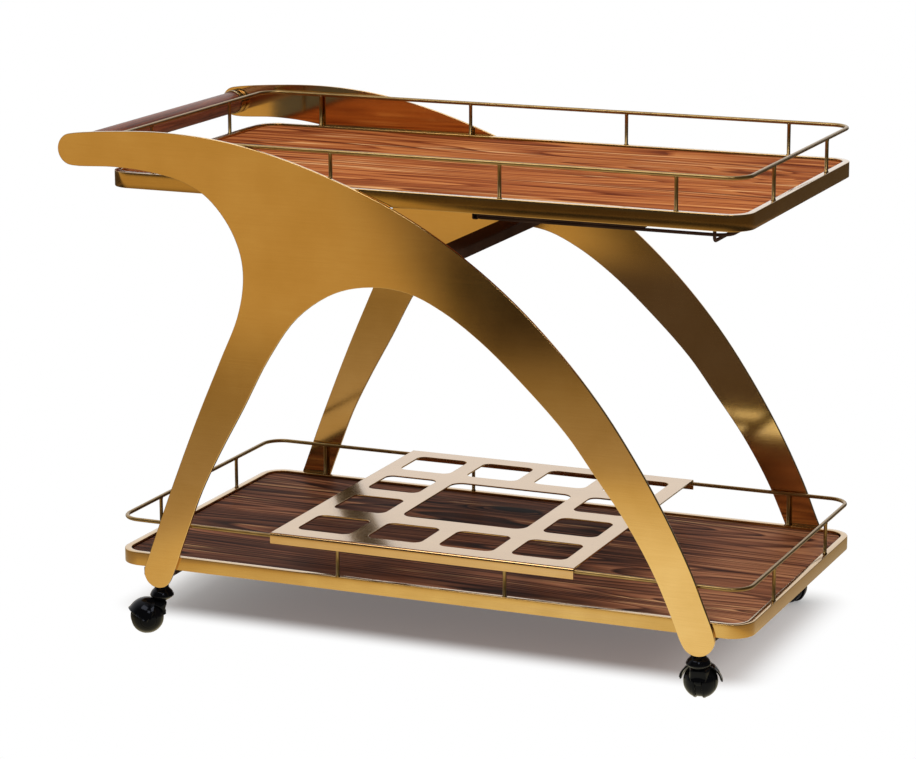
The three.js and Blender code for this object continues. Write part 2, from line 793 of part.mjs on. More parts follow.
// Wedge across the caster, open upwards between two directions from a line below the axle
function hoodWedge(startDegrees, endDegrees, halfWidth) {
  const reach = 2 * hoodOuterRadius;
  const outline = [new THREE.Vector2(0, -hoodDrop)];
  for (const degrees of [startDegrees, (startDegrees + endDegrees) / 2, endDegrees]) {
    const angle = THREE.MathUtils.degToRad(degrees);
    outline.push(new THREE.Vector2(reach * Math.cos(angle), reach * Math.sin(angle)));
  }
  const wedge = slab(outline, -halfWidth, halfWidth);
  return toSolid(wedge.rotateX(Math.PI / 2));
}

// Around the axle, stem side towards +X
function makeCasterHood() {
  const outerBall = toSolid(new THREE.SphereGeometry(hoodOuterRadius, hoodSides, hoodSides / 2));
  const innerBall = toSolid(new THREE.SphereGeometry(hoodInnerRadius, hoodSides, hoodSides / 2));
  const shell = outerBall.subtract(innerBall);
  const visor = shell.intersect(hoodWedge(hoodFrontAngle, hoodBackAngle, hoodOuterRadius));
  const throat = shell.intersect(hoodWedge(0, throatAngle, throatWidth / 2));
  const boss = uprightCylinder(bossRadius, bossBottom - axleHeight, bossTop - axleHeight, pinSides);
  const collar = toSolid(boss.translate(casterTrail, 0, 0)).subtract(innerBall);
  const halfWeb = webThickness / 2;
  const hub = toSolid(crossCylinder(webRadius, -halfWeb, halfWeb, hoodSides));
  const disc = toSolid(crossCylinder(hoodInnerRadius + hoodWall / 2, -halfWeb, halfWeb, hoodSides));
  const web = disc.intersect(hoodWedge(0, hoodBackAngle, halfWeb));
  const axleBore = toSolid(crossCylinder(axleRadius + seatGap, -webThickness, webThickness, rodSides));
  const pinBore = uprightCylinder(
    pinRadius + seatGap,
    pinBottom - seatGap - axleHeight,
    bossTop - axleHeight + cutOverrun,
    pinSides,
  );
  const body = addAll(visor, [throat, collar, web, hub]);
  return subtractAll(body, [axleBore, toSolid(pinBore.translate(casterTrail, 0, 0))]);
}

function makeCup() {
  const ringBottom = cupBottom + cupRise;
  const ringTop = ringBottom + cupRingHeight;
  const neck = ringTop + cupTaper;
  const top = beamBottom - seatGap;
  const bore = pinRadius + seatGap;
  const profile = [
    [bore, cupBottom],
    [cupFootRadius, cupBottom],
    [cupRingRadius, ringBottom],
    [cupRingRadius, ringTop],
    [cupNeckRadius, neck],
    [cupNeckRadius, top],
    [bore, top],
    [bore, cupBottom],
  ];
  return turned(profile, cupSides);
}

function makePin() {
  const shoulder = beamBottom + beamWall + seatGap;
  const top = shoulder + pinHeadHeight;
  const profile = [
    [0, pinBottom],
    [pinRadius, pinBottom],
    [pinRadius, shoulder],
    [pinHeadRadius, shoulder],
    [pinHeadRadius, top],
    [0, top],
  ];
  return turned(profile, pinSides);
}

for (const [place, turn] of Object.entries(casterTurns)) {
  const [end, sideName] = place.split('_');
  const caster = new THREE.Group();
  caster.position.set(beamPlaces[end], sideName === 'right' ? -casterY : casterY, 0);
  frame.add(caster);
  const fork = new THREE.Group();
  fork.rotation.z = THREE.MathUtils.degToRad(turn + 180);
  caster.add(fork);
  const ball = new THREE.Group();
  ball.position.set(-casterTrail, 0, axleHeight);
  fork.add(ball);
  addPiece(`caster_${place}_cup`, makeCup(), blackPlastic, caster);
  addPiece(`caster_${place}_pin`, makePin(), zincSteel, caster);
  addPiece(`caster_${place}_hood`, makeCasterHood(), blackPlastic, ball);
  addPiece(`caster_${place}_axle`, makeAxle(), zincSteel, ball);
  addPiece(`caster_${place}_wheel_left`, makeWheel(), blackPlastic, ball);
  addPiece(`caster_${place}_wheel_right`, makeWheel().rotateZ(Math.PI), blackPlastic, ball);
}

export default cart;
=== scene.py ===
# Two-tier bar cart: brass-coated side plates, two charred pine trays with rod galleries, a bottle
# rack, a hanger for stemmed glasses and four ball casters. Blender 4.5, Cycles, metres, +Z up.
import math
import re
from functools import partial

import bmesh
import bpy
from mathutils import Matrix, Vector
from mathutils.geometry import tessellate_polygon


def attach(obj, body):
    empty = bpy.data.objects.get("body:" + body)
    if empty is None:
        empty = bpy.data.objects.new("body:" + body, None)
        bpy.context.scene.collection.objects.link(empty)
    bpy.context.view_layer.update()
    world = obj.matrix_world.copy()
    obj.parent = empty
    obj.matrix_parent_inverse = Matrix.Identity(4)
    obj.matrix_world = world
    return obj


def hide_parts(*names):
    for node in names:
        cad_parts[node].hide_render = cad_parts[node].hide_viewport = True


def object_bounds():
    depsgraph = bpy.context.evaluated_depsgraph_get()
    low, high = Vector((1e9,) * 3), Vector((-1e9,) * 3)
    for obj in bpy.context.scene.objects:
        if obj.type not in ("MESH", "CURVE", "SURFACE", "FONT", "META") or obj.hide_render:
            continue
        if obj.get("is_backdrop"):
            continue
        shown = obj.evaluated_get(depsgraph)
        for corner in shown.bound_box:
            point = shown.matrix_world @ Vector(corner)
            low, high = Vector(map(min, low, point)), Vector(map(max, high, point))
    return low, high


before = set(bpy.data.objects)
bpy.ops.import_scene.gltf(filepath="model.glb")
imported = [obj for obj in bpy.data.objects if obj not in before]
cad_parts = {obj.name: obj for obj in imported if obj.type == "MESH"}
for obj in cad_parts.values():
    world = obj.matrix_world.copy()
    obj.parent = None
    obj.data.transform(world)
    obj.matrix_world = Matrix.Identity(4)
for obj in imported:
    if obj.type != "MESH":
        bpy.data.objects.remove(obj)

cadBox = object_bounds()
mm = 0.001
scene = bpy.context.scene
sides = {"Right": -1, "Left": 1}  # sign of Y on each side of the cart
lengthwise = Matrix(((0, 0, 1, 0), (1, 0, 0, 0), (0, 1, 0, 0), (0, 0, 0, 1)))  # local z along X
crosswise = Matrix(((1, 0, 0, 0), (0, 0, -1, 0), (0, 1, 0, 0), (0, 0, 0, 1)))  # local z along -Y


def turned(degrees, axis):
    return Matrix.Rotation(math.radians(degrees), 4, axis)


sideways = turned(-90, "X")  # local z along +Y

print("stage: frame loaded")


# Camera, at the photograph's angle

cameraLook = {
    "place": (1.80864, -4.26849, 1.46733),
    "turn": 23.0886,  # degrees to the left
    "tilt": 13.2865,  # degrees down
    "roll": -0.1415,
    "lens": 123.534, "sensor": 36,  # mm
    "clip": (0.05, 100),
}


def makeCamera(look):
    data = bpy.data.cameras.new("camera")
    data.lens, data.sensor_width = look["lens"], look["sensor"]
    data.clip_start, data.clip_end = look["clip"]
    camera = bpy.data.objects.new("camera", data)
    scene.collection.objects.link(camera)
    camera.matrix_world = (Matrix.Translation(look["place"]) @ turned(look["turn"], "Z")
                           @ turned(90 - look["tilt"], "X") @ turned(look["roll"], "Z"))
    scene.camera = camera


makeCamera(cameraLook)


# Materials

smooth = {"interpolation_type": "SMOOTHSTEP"}


def toLinear(hexColour):
    parts = [int(hexColour[i:i + 2], 16) / 255 for i in (1, 3, 5)]
    return (*[part / 12.92 if part <= 0.04045 else ((part + 0.055) / 1.055) ** 2.4
              for part in parts], 1)


def addNode(tree, kind, settings=None, links=None):
    # small letters set the node itself, the rest its sockets by name or number: a Mix has 0 for
    # the share, 2 and 3 for levels, 6 and 7 for colours; a Math's kind ends in its operation
    kind, _, operation = kind.partition(" ")
    node = tree.nodes.new("ShaderNode" + kind)
    if operation:
        node.operation = operation
    for name, value in (settings or {}).items():
        if name == "stops":  # a ramp's places and colours or levels
            marks = node.color_ramp.elements
            while len(marks) < len(value):
                marks.new(0.5)
            for mark, (place, tone) in zip(marks, value):
                mark.position = place
                mark.color = toLinear(tone) if isinstance(tone, str) else (tone, tone, tone, 1)
        elif name in ("From", "To"):  # both ends of a range
            for end, level in zip(("Min", "Max"), value):
                node.inputs[f"{name} {end}"].default_value = level
        elif str(name)[0].islower():
            setattr(node, name, value)
        else:
            node.inputs[name].default_value = toLinear(value) if isinstance(value, str) else value
    for name, source in (links or {}).items():
        if isinstance(source, bpy.types.Node):  # it stands for the first of its outputs in use
            source = next(output for output in source.outputs if output.enabled)
        tree.links.new(source, node.inputs[name])
    return node


def startTree(holder):
    holder.use_nodes = True
    holder.node_tree.nodes.clear()
    return partial(addNode, holder.node_tree)


def newMaterial(name, recipe, look):
    # a recipe gives what drives the colour, the roughness and, where there is any, the relief
    material = bpy.data.materials.new(name)
    add = startTree(material)
    colour, rough, height = recipe(add, add("TexCoord").outputs["Object"], look)
    links = {"Base Color": colour, "Roughness": rough}
    if height is not None:
        links["Normal"] = add("Bump", {"Strength": look["relief"],
                                       "Distance": look["reliefDepth"] * mm}, {"Height": height})
    shader = add("BsdfPrincipled", look["surface"], links)
    add("OutputMaterial", {}, {"Surface": shader})
    return material


def pattern(add, place, size, settings, kind="Noise", start=(0, 0, 0)):
    # a texture with its size in mm, one for all axes or one for each
    sizes = size if isinstance(size, tuple) else (size,) * 3
    field = add("Mapping", {"Scale": [1 / (side * mm) for side in sizes], "Location": start},
                {"Vector": place})
    return add("Tex" + kind, {"Scale": 1.0, **settings}, {"Vector": field})


# Steel sheet and rod with a vacuum-deposited brass colour, brushed before coating. The brushing
# draws reflections out across its lines; the clear lacquer puts a thin paler gloss over them.
def brushedBrass(add, place, look):
    # real brush lines are 0.1 to 0.3 mm apart; drawn at lineSpacing so that they show at all
    size = tuple(look["lineLength" if axis in look["along"] else "lineSpacing"] for axis in "xyz")
    brush = pattern(add, place, size, {"Detail": 3.0, "Roughness": 0.6})
    clouds = pattern(add, place, look["cloudSize"], {"Detail": 3.0, "Roughness": 0.55})
    specks = pattern(add, place, look["speckSize"], {"Detail": 1.0})
    tone = add("Mix", {0: look["brushTone"]}, {2: clouds, 3: brush})
    low, middle, high = 0.25, 0.5, 0.75  # where the tone's three colours stand
    colour = add("ValToRGB", {"stops": list(zip((low, middle, high), look["colours"]))}, {0: tone})
    # handling rubs the coat paler along the outer edges, and the same paler colour paints a
    # highlight line along them; both follow where the rounded normal leaves the face's
    rounded = add("Bevel", {"samples": 4, "Radius": look["wearWidth"] * mm})
    normal = add("NewGeometry").outputs["Normal"]
    bend = add("VectorMath DOT_PRODUCT", {}, {0: rounded, 1: normal})
    wear = add("MapRange", {"From": (0.999, 0.93), "To Max": look["wear"]}, {"Value": bend})
    patchy = add("Math MULTIPLY", {}, {0: wear, 1: clouds})
    wornAndHighlit = add("Mix", {"data_type": "RGBA", 7: look["rubbed"]}, {0: patchy, 6: colour})
    speckle = look["speckle"]
    even = add("MapRange", {"From": (low, high), "To": [level - speckle / 2 for level in
                                                        look["roughness"]]}, {"Value": tone})
    rough = add("Math MULTIPLY_ADD", {1: speckle}, {0: specks, 2: even})
    return wornAndHighlit, rough, brush


# Pine boards, charred with a flame and wire-brushed so that the hard growth rings stay as dark
# lines with pale wood between, then stained and given a matt lacquer.
def charredPine(add, place, look):
    spot = add("VectorMath ADD", {1: look["shift"]}, {0: place})
    noises = {key: pattern(add, spot, look[key], grade, start=start)
              for key, (start, grade) in pineNoises.items()}
    # knots: a sparse set of long cells, each pushing the rings aside
    knots = pattern(add, spot, look["knots"], {"voronoi_dimensions": "2D", "Randomness": 0.85},
                    "Voronoi")
    chance = add("SeparateColor", {}, {"Color": knots.outputs["Color"]})
    chosen = add("Math GREATER_THAN", {1: look["knotRarity"]}, {0: chance})
    nearness = add("MapRange", {"interpolation_type": "SMOOTHERSTEP",
                                "From": (look["knotReach"], 0.0)}, {"Value": knots})
    swirl = add("Math MULTIPLY", {}, {0: nearness, 1: chosen})
    bent = add("Math MULTIPLY_ADD", {1: look["knotPush"]}, {0: swirl, 2: noises["drift"]})
    count = add("Math MULTIPLY", {1: look["rings"]}, {0: bent})
    ring = add("Math FRACT", {}, {0: count})
    ringTone = add("ValToRGB", {"stops": look["ringLevels"]}, {0: ring})
    mixed = add("Mix", {0: look["ringShare"]}, {2: noises["bands"], 3: ringTone})
    mixed = add("Mix", {0: look["fibreShare"]}, {2: mixed, 3: noises["fibres"]})
    # painted light: the wood's tone is raised towards the +X end of the panel, standing in for the
    # stronger light that falls on that end
    *span, gain = look["thinStain"]
    paintedLightShift = add("MapRange", {**smooth, "From": span, "To Max": gain},
               {"Value": add("SeparateXYZ", {}, {0: place})})
    stain = add("Math ADD", {}, {0: mixed, 1: paintedLightShift})
    wood = add("ValToRGB", {"stops": look["colours"]}, {0: stain})
    # pale streaks, and the dark hearts of the knots
    paleMask = add("MapRange", {**smooth, "From": look["paleLevels"]}, {"Value": noises["pale"]})
    paleLevel = add("Math MULTIPLY", {}, {0: paleMask, 1: ringTone})
    lit = add("Mix", {"data_type": "RGBA", 7: look["paleColour"]}, {0: paleLevel, 6: wood})
    heart = add("MapRange", {**smooth, "From": (0.72, 0.95)}, {"Value": swirl})
    knotted = add("Mix", {"data_type": "RGBA", 7: look["knotColour"]}, {0: heart, 6: lit})
    rough = add("MapRange", {"To": look["roughness"]}, {"Value": mixed})
    return knotted, rough, mixed


# Two patterns mixed into a tone, which picks the colour; roughness and relief follow one level.
def mottled(add, place, look):
    levels = {name: pattern(add, place, *layer) for name, layer in look["layers"].items()}
    first, second, share = look["tone"]
    levels["tone"] = add("Mix", {0: share}, {2: levels[first], 3: levels[second]})
    colour = add("ValToRGB", {"stops": look["colours"]}, {0: levels["tone"]})
    rough = add("MapRange", {"To": look["roughness"]}, {"Value": levels[look["roughWith"]]})
    return colour, rough, levels.get(look.get("reliefWith"))


# Nylon for the hoods and polyurethane for the wheels, both black and moulded: gloss from a
# polished mould, softened a little by fine texture, handling dust and scuffs.
def mouldedBlack(add, place, look):
    haze = pattern(add, place, look["haze"], {"Detail": 4.0, "Roughness": 0.6})
    grit = pattern(add, place, look["grit"], {})
    dusty = add("MapRange", {"From": (0.55, 0.8), "To Max": look["dust"]}, {"Value": haze})
    colour = add("Mix", {"data_type": "RGBA", 6: look["colour"], 7: look["dustColour"]},
                 {0: dusty})
    rough = add("MapRange", {"From": (0.3, 0.75), "To": look["roughness"]}, {"Value": haze})
    return colour, rough, grit


def lacquered(weight, roughness):
    return {"Metallic": 1.0, "Coat Weight": weight, "Coat Roughness": roughness, "Coat IOR": 1.5}


def blackPlastic(shine):
    return {"IOR": 1.5, "Specular IOR Level": shine, "Specular Tint": "#D2D8EC"}


# where each noise of the pine starts, and its grade
pineNoises = {
    "drift": ((0, 0, 0), {"Roughness": 0.4, "Distortion": 0.25}),
    "bands": ((0, 0, 0), {"Detail": 4.0, "Roughness": 0.62, "Distortion": 0.3}),
    "fibres": ((0, 0, 0), {"Detail": 3.0, "Roughness": 0.7}),
    "pale": ((3.1, 7.7, 0.4), {"Detail": 2.5, "Roughness": 0.55, "Distortion": 0.5}),
}
# sizes are in mm; those of patterns with three run along X, Y and Z
brassLook = {
    "surface": lacquered(1.0, 0.1), "along": "x", "lineSpacing": 0.8, "wear": 0.4,
    "wearWidth": 0.8, "speckSize": 2.2, "speckle": 0.05, "brushTone": 0.4, "relief": 0.15,
    "reliefDepth": 0.02,
}
pineLook = {
    "drift": (1900, 170, 170),  # slow drift of the rings along the board
    "fibres": (90, 1.5, 1.5),  # 0.05 mm wide in real pine; drawn wider so that they show
    "ringLevels": [(0.0, 0.15), (0.1, 0.85), (0.45, 0.62), (0.8, 0.3), (0.97, 0.0)],
    "knotReach": 0.4, "knotPush": 0.12, "ringShare": 0.3, "fibreShare": 0.2, "reliefDepth": 0.25,
}
plasticLook = {"haze": 12, "grit": 0.9, "dustColour": "#33312F", "reliefDepth": 0.04}
finishLook = {  # by slot: the material's name, its recipe and its look
    "plate_brass": ("brushedBrassPlate", brushedBrass, {
        **brassLook, "colours": ("#CBA055", "#D6AC67", "#DFB876"), "rubbed": "#DEBB7C",
        "wear": 0.5, "wearWidth": 2.2, "surface": lacquered(1.0, 0.08), "roughness": (0.08, 0.12),
        "along": "xy", "lineSpacing": 0.9, "lineLength": 60, "brushTone": 0.35, "cloudSize": 90,
        "relief": 0.2,
    }),
    "rim_brass": ("brushedBrassRim", brushedBrass, {
        **brassLook, "colours": ("#B58A3D", "#C1964D", "#CDA55A"), "rubbed": "#E2BD7C",
        "wear": 0.45, "wearWidth": 1.0, "roughness": (0.09, 0.15), "along": "xy",
        "lineLength": 45, "brushTone": 0.45, "cloudSize": 60,
    }),
    "rod_brass": ("drawnBrassRod", brushedBrass, {
        **brassLook, "colours": ("#836838", "#997B48", "#AE9059"), "rubbed": "#C7AA72",
        "wear": 0.3, "surface": lacquered(0.4, 0.2), "roughness": (0.28, 0.4),
        "lineSpacing": 1.2, "lineLength": 25, "cloudSize": 30,
    }),
    "rack_brass": ("brushedBrassRack", brushedBrass, {
        **brassLook, "colours": ("#B58B4E", "#BF955A", "#CAA167"), "rubbed": "#E6CB98",
        "wearWidth": 1.2, "roughness": (0.13, 0.2), "lineLength": 50, "cloudSize": 70,
    }),
    "ferrule_brass": ("turnedBrassFerrule", brushedBrass, {
        **brassLook, "colours": ("#8C7046", "#A18557", "#B69A6B"), "rubbed": "#D8C49C",
        "surface": lacquered(1.0, 0.12), "roughness": (0.12, 0.2), "along": "",
        "lineSpacing": 0.7, "cloudSize": 20, "relief": 0.2,
    }),
    "top_wood": ("charredPineTop", charredPine, {
        **pineLook, "surface": {"IOR": 1.45, "Specular IOR Level": 0.005},
        "shift": (2.37, 1.83, 0.4), "roughness": (0.66, 0.5), "relief": 0.5,
        "knots": (420, 105, math.inf), "knotRarity": 0.7, "rings": 34.0,
        "bands": (400, 22, 1000 / 6), "pale": (300, 16, 1000 / 3), "paleLevels": (0.57, 0.69),
        "colours": [(0.28, "#451B0D"), (0.4, "#78381C"), (0.5, "#A2582E"), (0.6, "#BD733F"),
                    (0.74, "#D69257")],
        # painted light: tone raised by up to 0.01 along the panel towards +X
        "paleColour": "#F0BC82", "knotColour": "#6A3218", "thinStain": (-0.5, 0.5, 0.01),
    }),
    "lower_wood": ("charredPineLower", charredPine, {
        **pineLook, "surface": {"IOR": 1.45, "Specular IOR Level": 0.03},
        "shift": (5.11, 3.27, 0.9), "roughness": (0.62, 0.45), "relief": 0.6,
        "knots": (400, 110, math.inf), "knotRarity": 0.72, "rings": 36.0,
        "drift": (2000, 160, 160), "bands": (500, 18, 1000 / 6), "pale": (340, 11, 1000 / 3),
        "paleLevels": (0.59, 0.71),
        "colours": [(0.3, "#150A06"), (0.41, "#351B11"), (0.51, "#5D3623"), (0.6, "#865237"),
                    (0.72, "#AE7751")],
        # painted light: tone raised by 0.1 from X 0.3 m to 0.42 m onwards, for the more brightly
        # lit end
        "paleColour": "#DDA976", "knotColour": "#1B0D08", "thinStain": (0.3, 0.42, 0.1),
    }),
    # beech, stained dark and oiled: close straight grain along the dowel with a soft low gloss
    "handle_wood": ("oiledBeechDowel", mottled, {
        "surface": {"IOR": 1.47, "Specular IOR Level": 0.3, "Coat Weight": 0.1,
                    "Coat Roughness": 0.22},
        "colours": [(0.25, "#2E140C"), (0.42, "#53281A"), (0.56, "#7A3F28"), (0.75, "#9A5A38")],
        "layers": {
            "grain": ((6, 220, 6), {"Detail": 4.0, "Roughness": 0.65, "Distortion": 0.4}),
            "flecks": ((1.2, 6, 1.2), {}),  # 0.3 mm wide in real beech; drawn wider
        },
        "tone": ("grain", "flecks", 0.22), "roughness": (0.28, 0.5), "roughWith": "tone",
        "reliefWith": "tone", "relief": 0.35, "reliefDepth": 0.1,
    }),
    # near-black bronze enamel, stoved on steel tube and rod: orange-peel skin, satin gloss
    "dark_steel": ("stovedBronzeEnamel", mottled, {
        "surface": {"IOR": 1.5, "Specular IOR Level": 0.015},
        "colours": [(0.3, "#281A13"), (0.6, "#3A281D"), (0.8, "#4C382A")],
        "layers": {"clouds": (50, {"Detail": 3.0}), "dust": (0.8, {}),
                   "peel": (2, {"Detail": 1.0})},
        "tone": ("clouds", "dust", 0.3), "roughness": (0.26, 0.44), "roughWith": "clouds",
        "reliefWith": "peel", "relief": 0.25, "reliefDepth": 0.05,
    }),
    # bright zinc on the hidden fixings: grey-blue metal with a faint spangle and dulled spots
    "zinc": ("brightZincPlate", mottled, {
        "surface": {"Metallic": 1.0}, "colours": [(0.2, "#9A9C9C"), (0.7, "#C6C8CA")],
        "layers": {"spots": (6, {"Detail": 3.0}), "spangle": (1.5, {}, "Voronoi")},
        "tone": ("spots", "spangle", 0.35), "roughness": (0.22, 0.42), "roughWith": "spots",
    }),
    "hood_plastic": ("mouldedNylonHood", mouldedBlack, {
        **plasticLook, "surface": blackPlastic(0.15), "colour": "#060607", "dust": 0.06,
        "roughness": (0.08, 0.17), "relief": 0.1,
    }),
    "wheel_plastic": ("mouldedPolyurethaneWheel", mouldedBlack, {
        **plasticLook, "surface": blackPlastic(0.13), "colour": "#070708", "dust": 0.1,
        "roughness": (0.14, 0.26), "relief": 0.2,
    }),
}
finishes = {slot: newMaterial(*entry) for slot, entry in finishLook.items()}

print("stage: materials made")


# Mesh helpers; all forms are in mm until Parts makes them

class Parts:  # vertices and faces of one mesh, gathered form by form
    def __init__(self):
        self.vertices, self.faces, self.flat = [], [], set()

    def add(self, vertices, faces, flatFaces=(), matrix=Matrix()):
        start = len(self.vertices)
        self.flat |= {len(self.faces) + index for index in flatFaces}
        self.vertices += [matrix @ Vector(vertex) for vertex in vertices]
        self.faces += [[start + i for i in face] for face in faces]

    def make(self, name, slot, body="frame", replaces=True):
        # a piece is named for the solid that it replaces: glassWire1 for glass_wire_1
        shape = bmesh.new()
        corners = [shape.verts.new(vertex * mm) for vertex in self.vertices]
        for index, face in enumerate(self.faces):
            shape.faces.new([corners[i] for i in face]).smooth = index not in self.flat
        bmesh.ops.recalc_face_normals(shape, faces=shape.faces)
        mesh = bpy.data.meshes.new(name)
        shape.to_mesh(mesh)
        shape.free()
        mesh.materials.append(finishes[slot])
        piece = bpy.data.objects.new(name, mesh)
        scene.collection.objects.link(piece)
        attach(piece, body)
        if replaces:
            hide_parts(re.sub("([A-Z0-9])", r"_\1", name).lower())
        return piece


def skin(rows, closed=False):
    # faces between rows of corners that each run round, and from the last to the first if closed
    faces = []
    for low, high in zip(rows, rows[1:] + rows[:1] if closed else rows[1:]):
        for i in range(len(low)):
            j = (i + 1) % len(low)
            face = list(dict.fromkeys((low[i], low[j], high[j], high[i])))
            if len(face) > 2:
                faces.append(face)
    return faces


def joinLoops(parts, loops, matrix=Matrix(), closed=False):
    # skin over a row of loops, its two ends shut unless it closes on itself
    count = len(loops[0])
    rows = [range(i * count, (i + 1) * count) for i in range(len(loops))]
    faces = skin(rows, closed)
    ends = [] if closed else [rows[0], rows[-1]]
    flat = range(len(faces), len(faces) + len(ends))
    parts.add([vertex for loop in loops for vertex in loop], faces + ends, flat, matrix)
    return parts


def arc(centre, radius, start, end, steps=6):
    angles = [math.radians(start + (end - start) * i / steps) for i in range(steps + 1)]
    return [(centre[0] + radius * math.cos(a), centre[1] + radius * math.sin(a)) for a in angles]


def rectangle(length, width, radius, steps, centre=(0, 0), hole=False, fixedRadius=False):
    # gives the rounded rectangle's loop at an inset, which makes a hole wider
    def loopAt(inset):
        grown = inset if hole else -inset
        bend = radius if fixedRadius else radius + grown
        x, y = length / 2 + grown - bend, width / 2 + grown - bend
        points = []
        for quarter, (a, b) in enumerate(((x, y), (-x, y), (-x, -y), (x, -y))):
            corner = (centre[0] + a, centre[1] + b)
            points += arc(corner, bend, 90 * quarter, 90 * quarter + 90, steps)
        return points

    return loopAt


def insetLoop(loop, inset):
    moved = []
    for i, (x, y) in enumerate(loop):
        before, after = Vector(loop[i - 1]), Vector(loop[(i + 1) % len(loop)])
        here = Vector((x, y))
        into, out = (here - before).normalized(), (after - here).normalized()
        normal = Vector((-into.y - out.y, into.x + out.x)).normalized()
        reach = inset / max(0.5, normal.dot(Vector((-into.y, into.x))))
        moved.append((x + normal.x * reach, y + normal.y * reach))
    return moved


def slab(parts, loops, bottom, top, edge, matrix=Matrix(), steps=3):
    # outline and holes give their loops at an inset; edges are rounded to the radius edge
    rings = [(edge - y, bottom + edge - x) for x, y in arc((0, 0), edge, 0, 90, steps)]
    rings += [(inset, top - (height - bottom)) for inset, height in reversed(rings)]
    vertices, rows = [], [[] for _ in loops]
    for inset, height in rings:
        for row, loop in zip(rows, loops):
            points = loop(inset)
            row.append(range(len(vertices), len(vertices) + len(points)))
            vertices += [(x, y, height) for x, y in points]
    faces = [face for row in rows for face in skin(row)]
    walls = len(faces)
    caps = [[Vector((x, y, 0)) for x, y in loop(edge)] for loop in loops]
    for triangle in tessellate_polygon(caps):
        faces += [[ring[0] + i for i in triangle] for ring in (rows[0][0], rows[0][-1])]
    parts.add(vertices, faces, range(walls, len(faces)), matrix)
    return parts


def lathe(parts, profile, count, matrix=Matrix()):
    # profile of (radius, height) round z, from one end to the other
    vertices, rows = [], []
    for radius, height in profile:
        around = 1 if radius == 0 else count
        rows.append([len(vertices) + i % around for i in range(count)])
        vertices += [(x, y, height) for x, y in arc((0, 0), radius, 0, 360, count)[:around]]
    parts.add(vertices, skin(rows), (), matrix)
    return parts


def softened(profile, radius, steps=3):
    # a profile with its inner points rounded off
    rounded = [profile[0]]
    for before, here, after in zip(profile, profile[1:], profile[2:]):
        a, b, c = Vector(before), Vector(here), Vector(after)
        reach = min(radius, (a - b).length * 0.45, (c - b).length * 0.45)
        start, end = b + (a - b).normalized() * reach, b + (c - b).normalized() * reach
        for i in range(steps + 1):
            t = i / steps
            rounded.append(tuple(start.lerp(b, t).lerp(b.lerp(end, t), t)))
    return rounded + [profile[-1]]


def bentPath(corners, bend, steps, closed=False):
    # points along a polyline with every corner rounded to one bend radius
    path = []
    count = len(corners)
    for i, corner in enumerate(corners):
        here = Vector(corner)
        if not closed and i in (0, count - 1):
            path.append(here)
            continue
        into = (here - Vector(corners[i - 1])).normalized()
        out = (Vector(corners[(i + 1) % count]) - here).normalized()
        turn = into.angle(out)
        centre = here + (out - into).normalized() * bend / math.cos(turn / 2)
        spoke = here - into * bend * math.tan(turn / 2) - centre
        axis = into.cross(out)
        for k in range(steps + 1):
            path.append(centre + Matrix.Rotation(turn * k / steps, 3, axis) @ spoke)
    return path


def rod(parts, path, radius, closed=False, count=16, tip=0.0):
    # round bar along a path, its open ends rounded off over tip
    stations = [(point, radius) for point in path]
    if not closed:
        first, last = path[0], path[-1]
        inward, back = (path[1] - first).normalized(), (path[-2] - last).normalized()
        caps = [(0.0, 0.25), (0.3, 0.75), (1.0, 1.0)]  # shares of the tip and of the radius
        stations = [(first + inward * tip * a, radius * b) for a, b in caps] + stations[1:-1]
        stations += [(last + back * tip * a, radius * b) for a, b in reversed(caps)]
    loops, side = [], None
    for i, (point, reach) in enumerate(stations):
        ahead = stations[(i + 1) % len(stations)][0] if closed or i < len(stations) - 1 else point
        behind = stations[i - 1][0] if closed or i > 0 else point
        tangent = (ahead - behind).normalized()
        if side is None:
            side = tangent.orthogonal().normalized()
        side = (side - tangent * side.dot(tangent)).normalized()
        other = tangent.cross(side)
        loops.append([point + side * x + other * y
                      for x, y in arc((0, 0), reach, 0, 360, count)[:-1]])
    return joinLoops(parts, loops, closed=closed)


# Side plates

plateLook = {
    "legSpan": 856, "height": 694, "footHeight": 73, "thickness": 5, "inside": 263.3,
    "rearFoot": -389.126, "rearFootRadius": 23, "frontFootRadius": 25.5, "tipRadius": 24,
    "tip": (-0.147, 0.952), "lean": 22, "edge": 0.7,
    # knots of the outline, as shares of the leg span and the height
    "underside": [
        (-0.064, 0.92), (0.005, 0.914), (0.067, 0.898), (0.112, 0.869), (0.152, 0.813),
        (0.174, 0.751), (0.178, 0.692), (0.166, 0.618), (0.132, 0.522), (0.084, 0.388),
        (0.026, 0.211), (-0.014, 0.08),
    ],
    "arch": [
        (0.058, 0.126), (0.091, 0.229), (0.128, 0.319), (0.174, 0.42), (0.224, 0.534),
        (0.279, 0.627), (0.349, 0.686), (0.417, 0.706), (0.485, 0.7), (0.548, 0.667),
        (0.615, 0.612), (0.689, 0.533), (0.767, 0.437), (0.818, 0.356), (0.873, 0.265),
        (0.921, 0.166), (0.955, 0.075),
    ],
    "back": [
        (1.01, 0.106), (0.988, 0.172), (0.942, 0.284), (0.886, 0.398), (0.822, 0.509),
        (0.744, 0.618), (0.657, 0.716), (0.559, 0.803), (0.459, 0.871), (0.349, 0.925),
        (0.243, 0.965), (0.135, 0.991), (0.029, 1), (-0.078, 0.995),
    ],
}


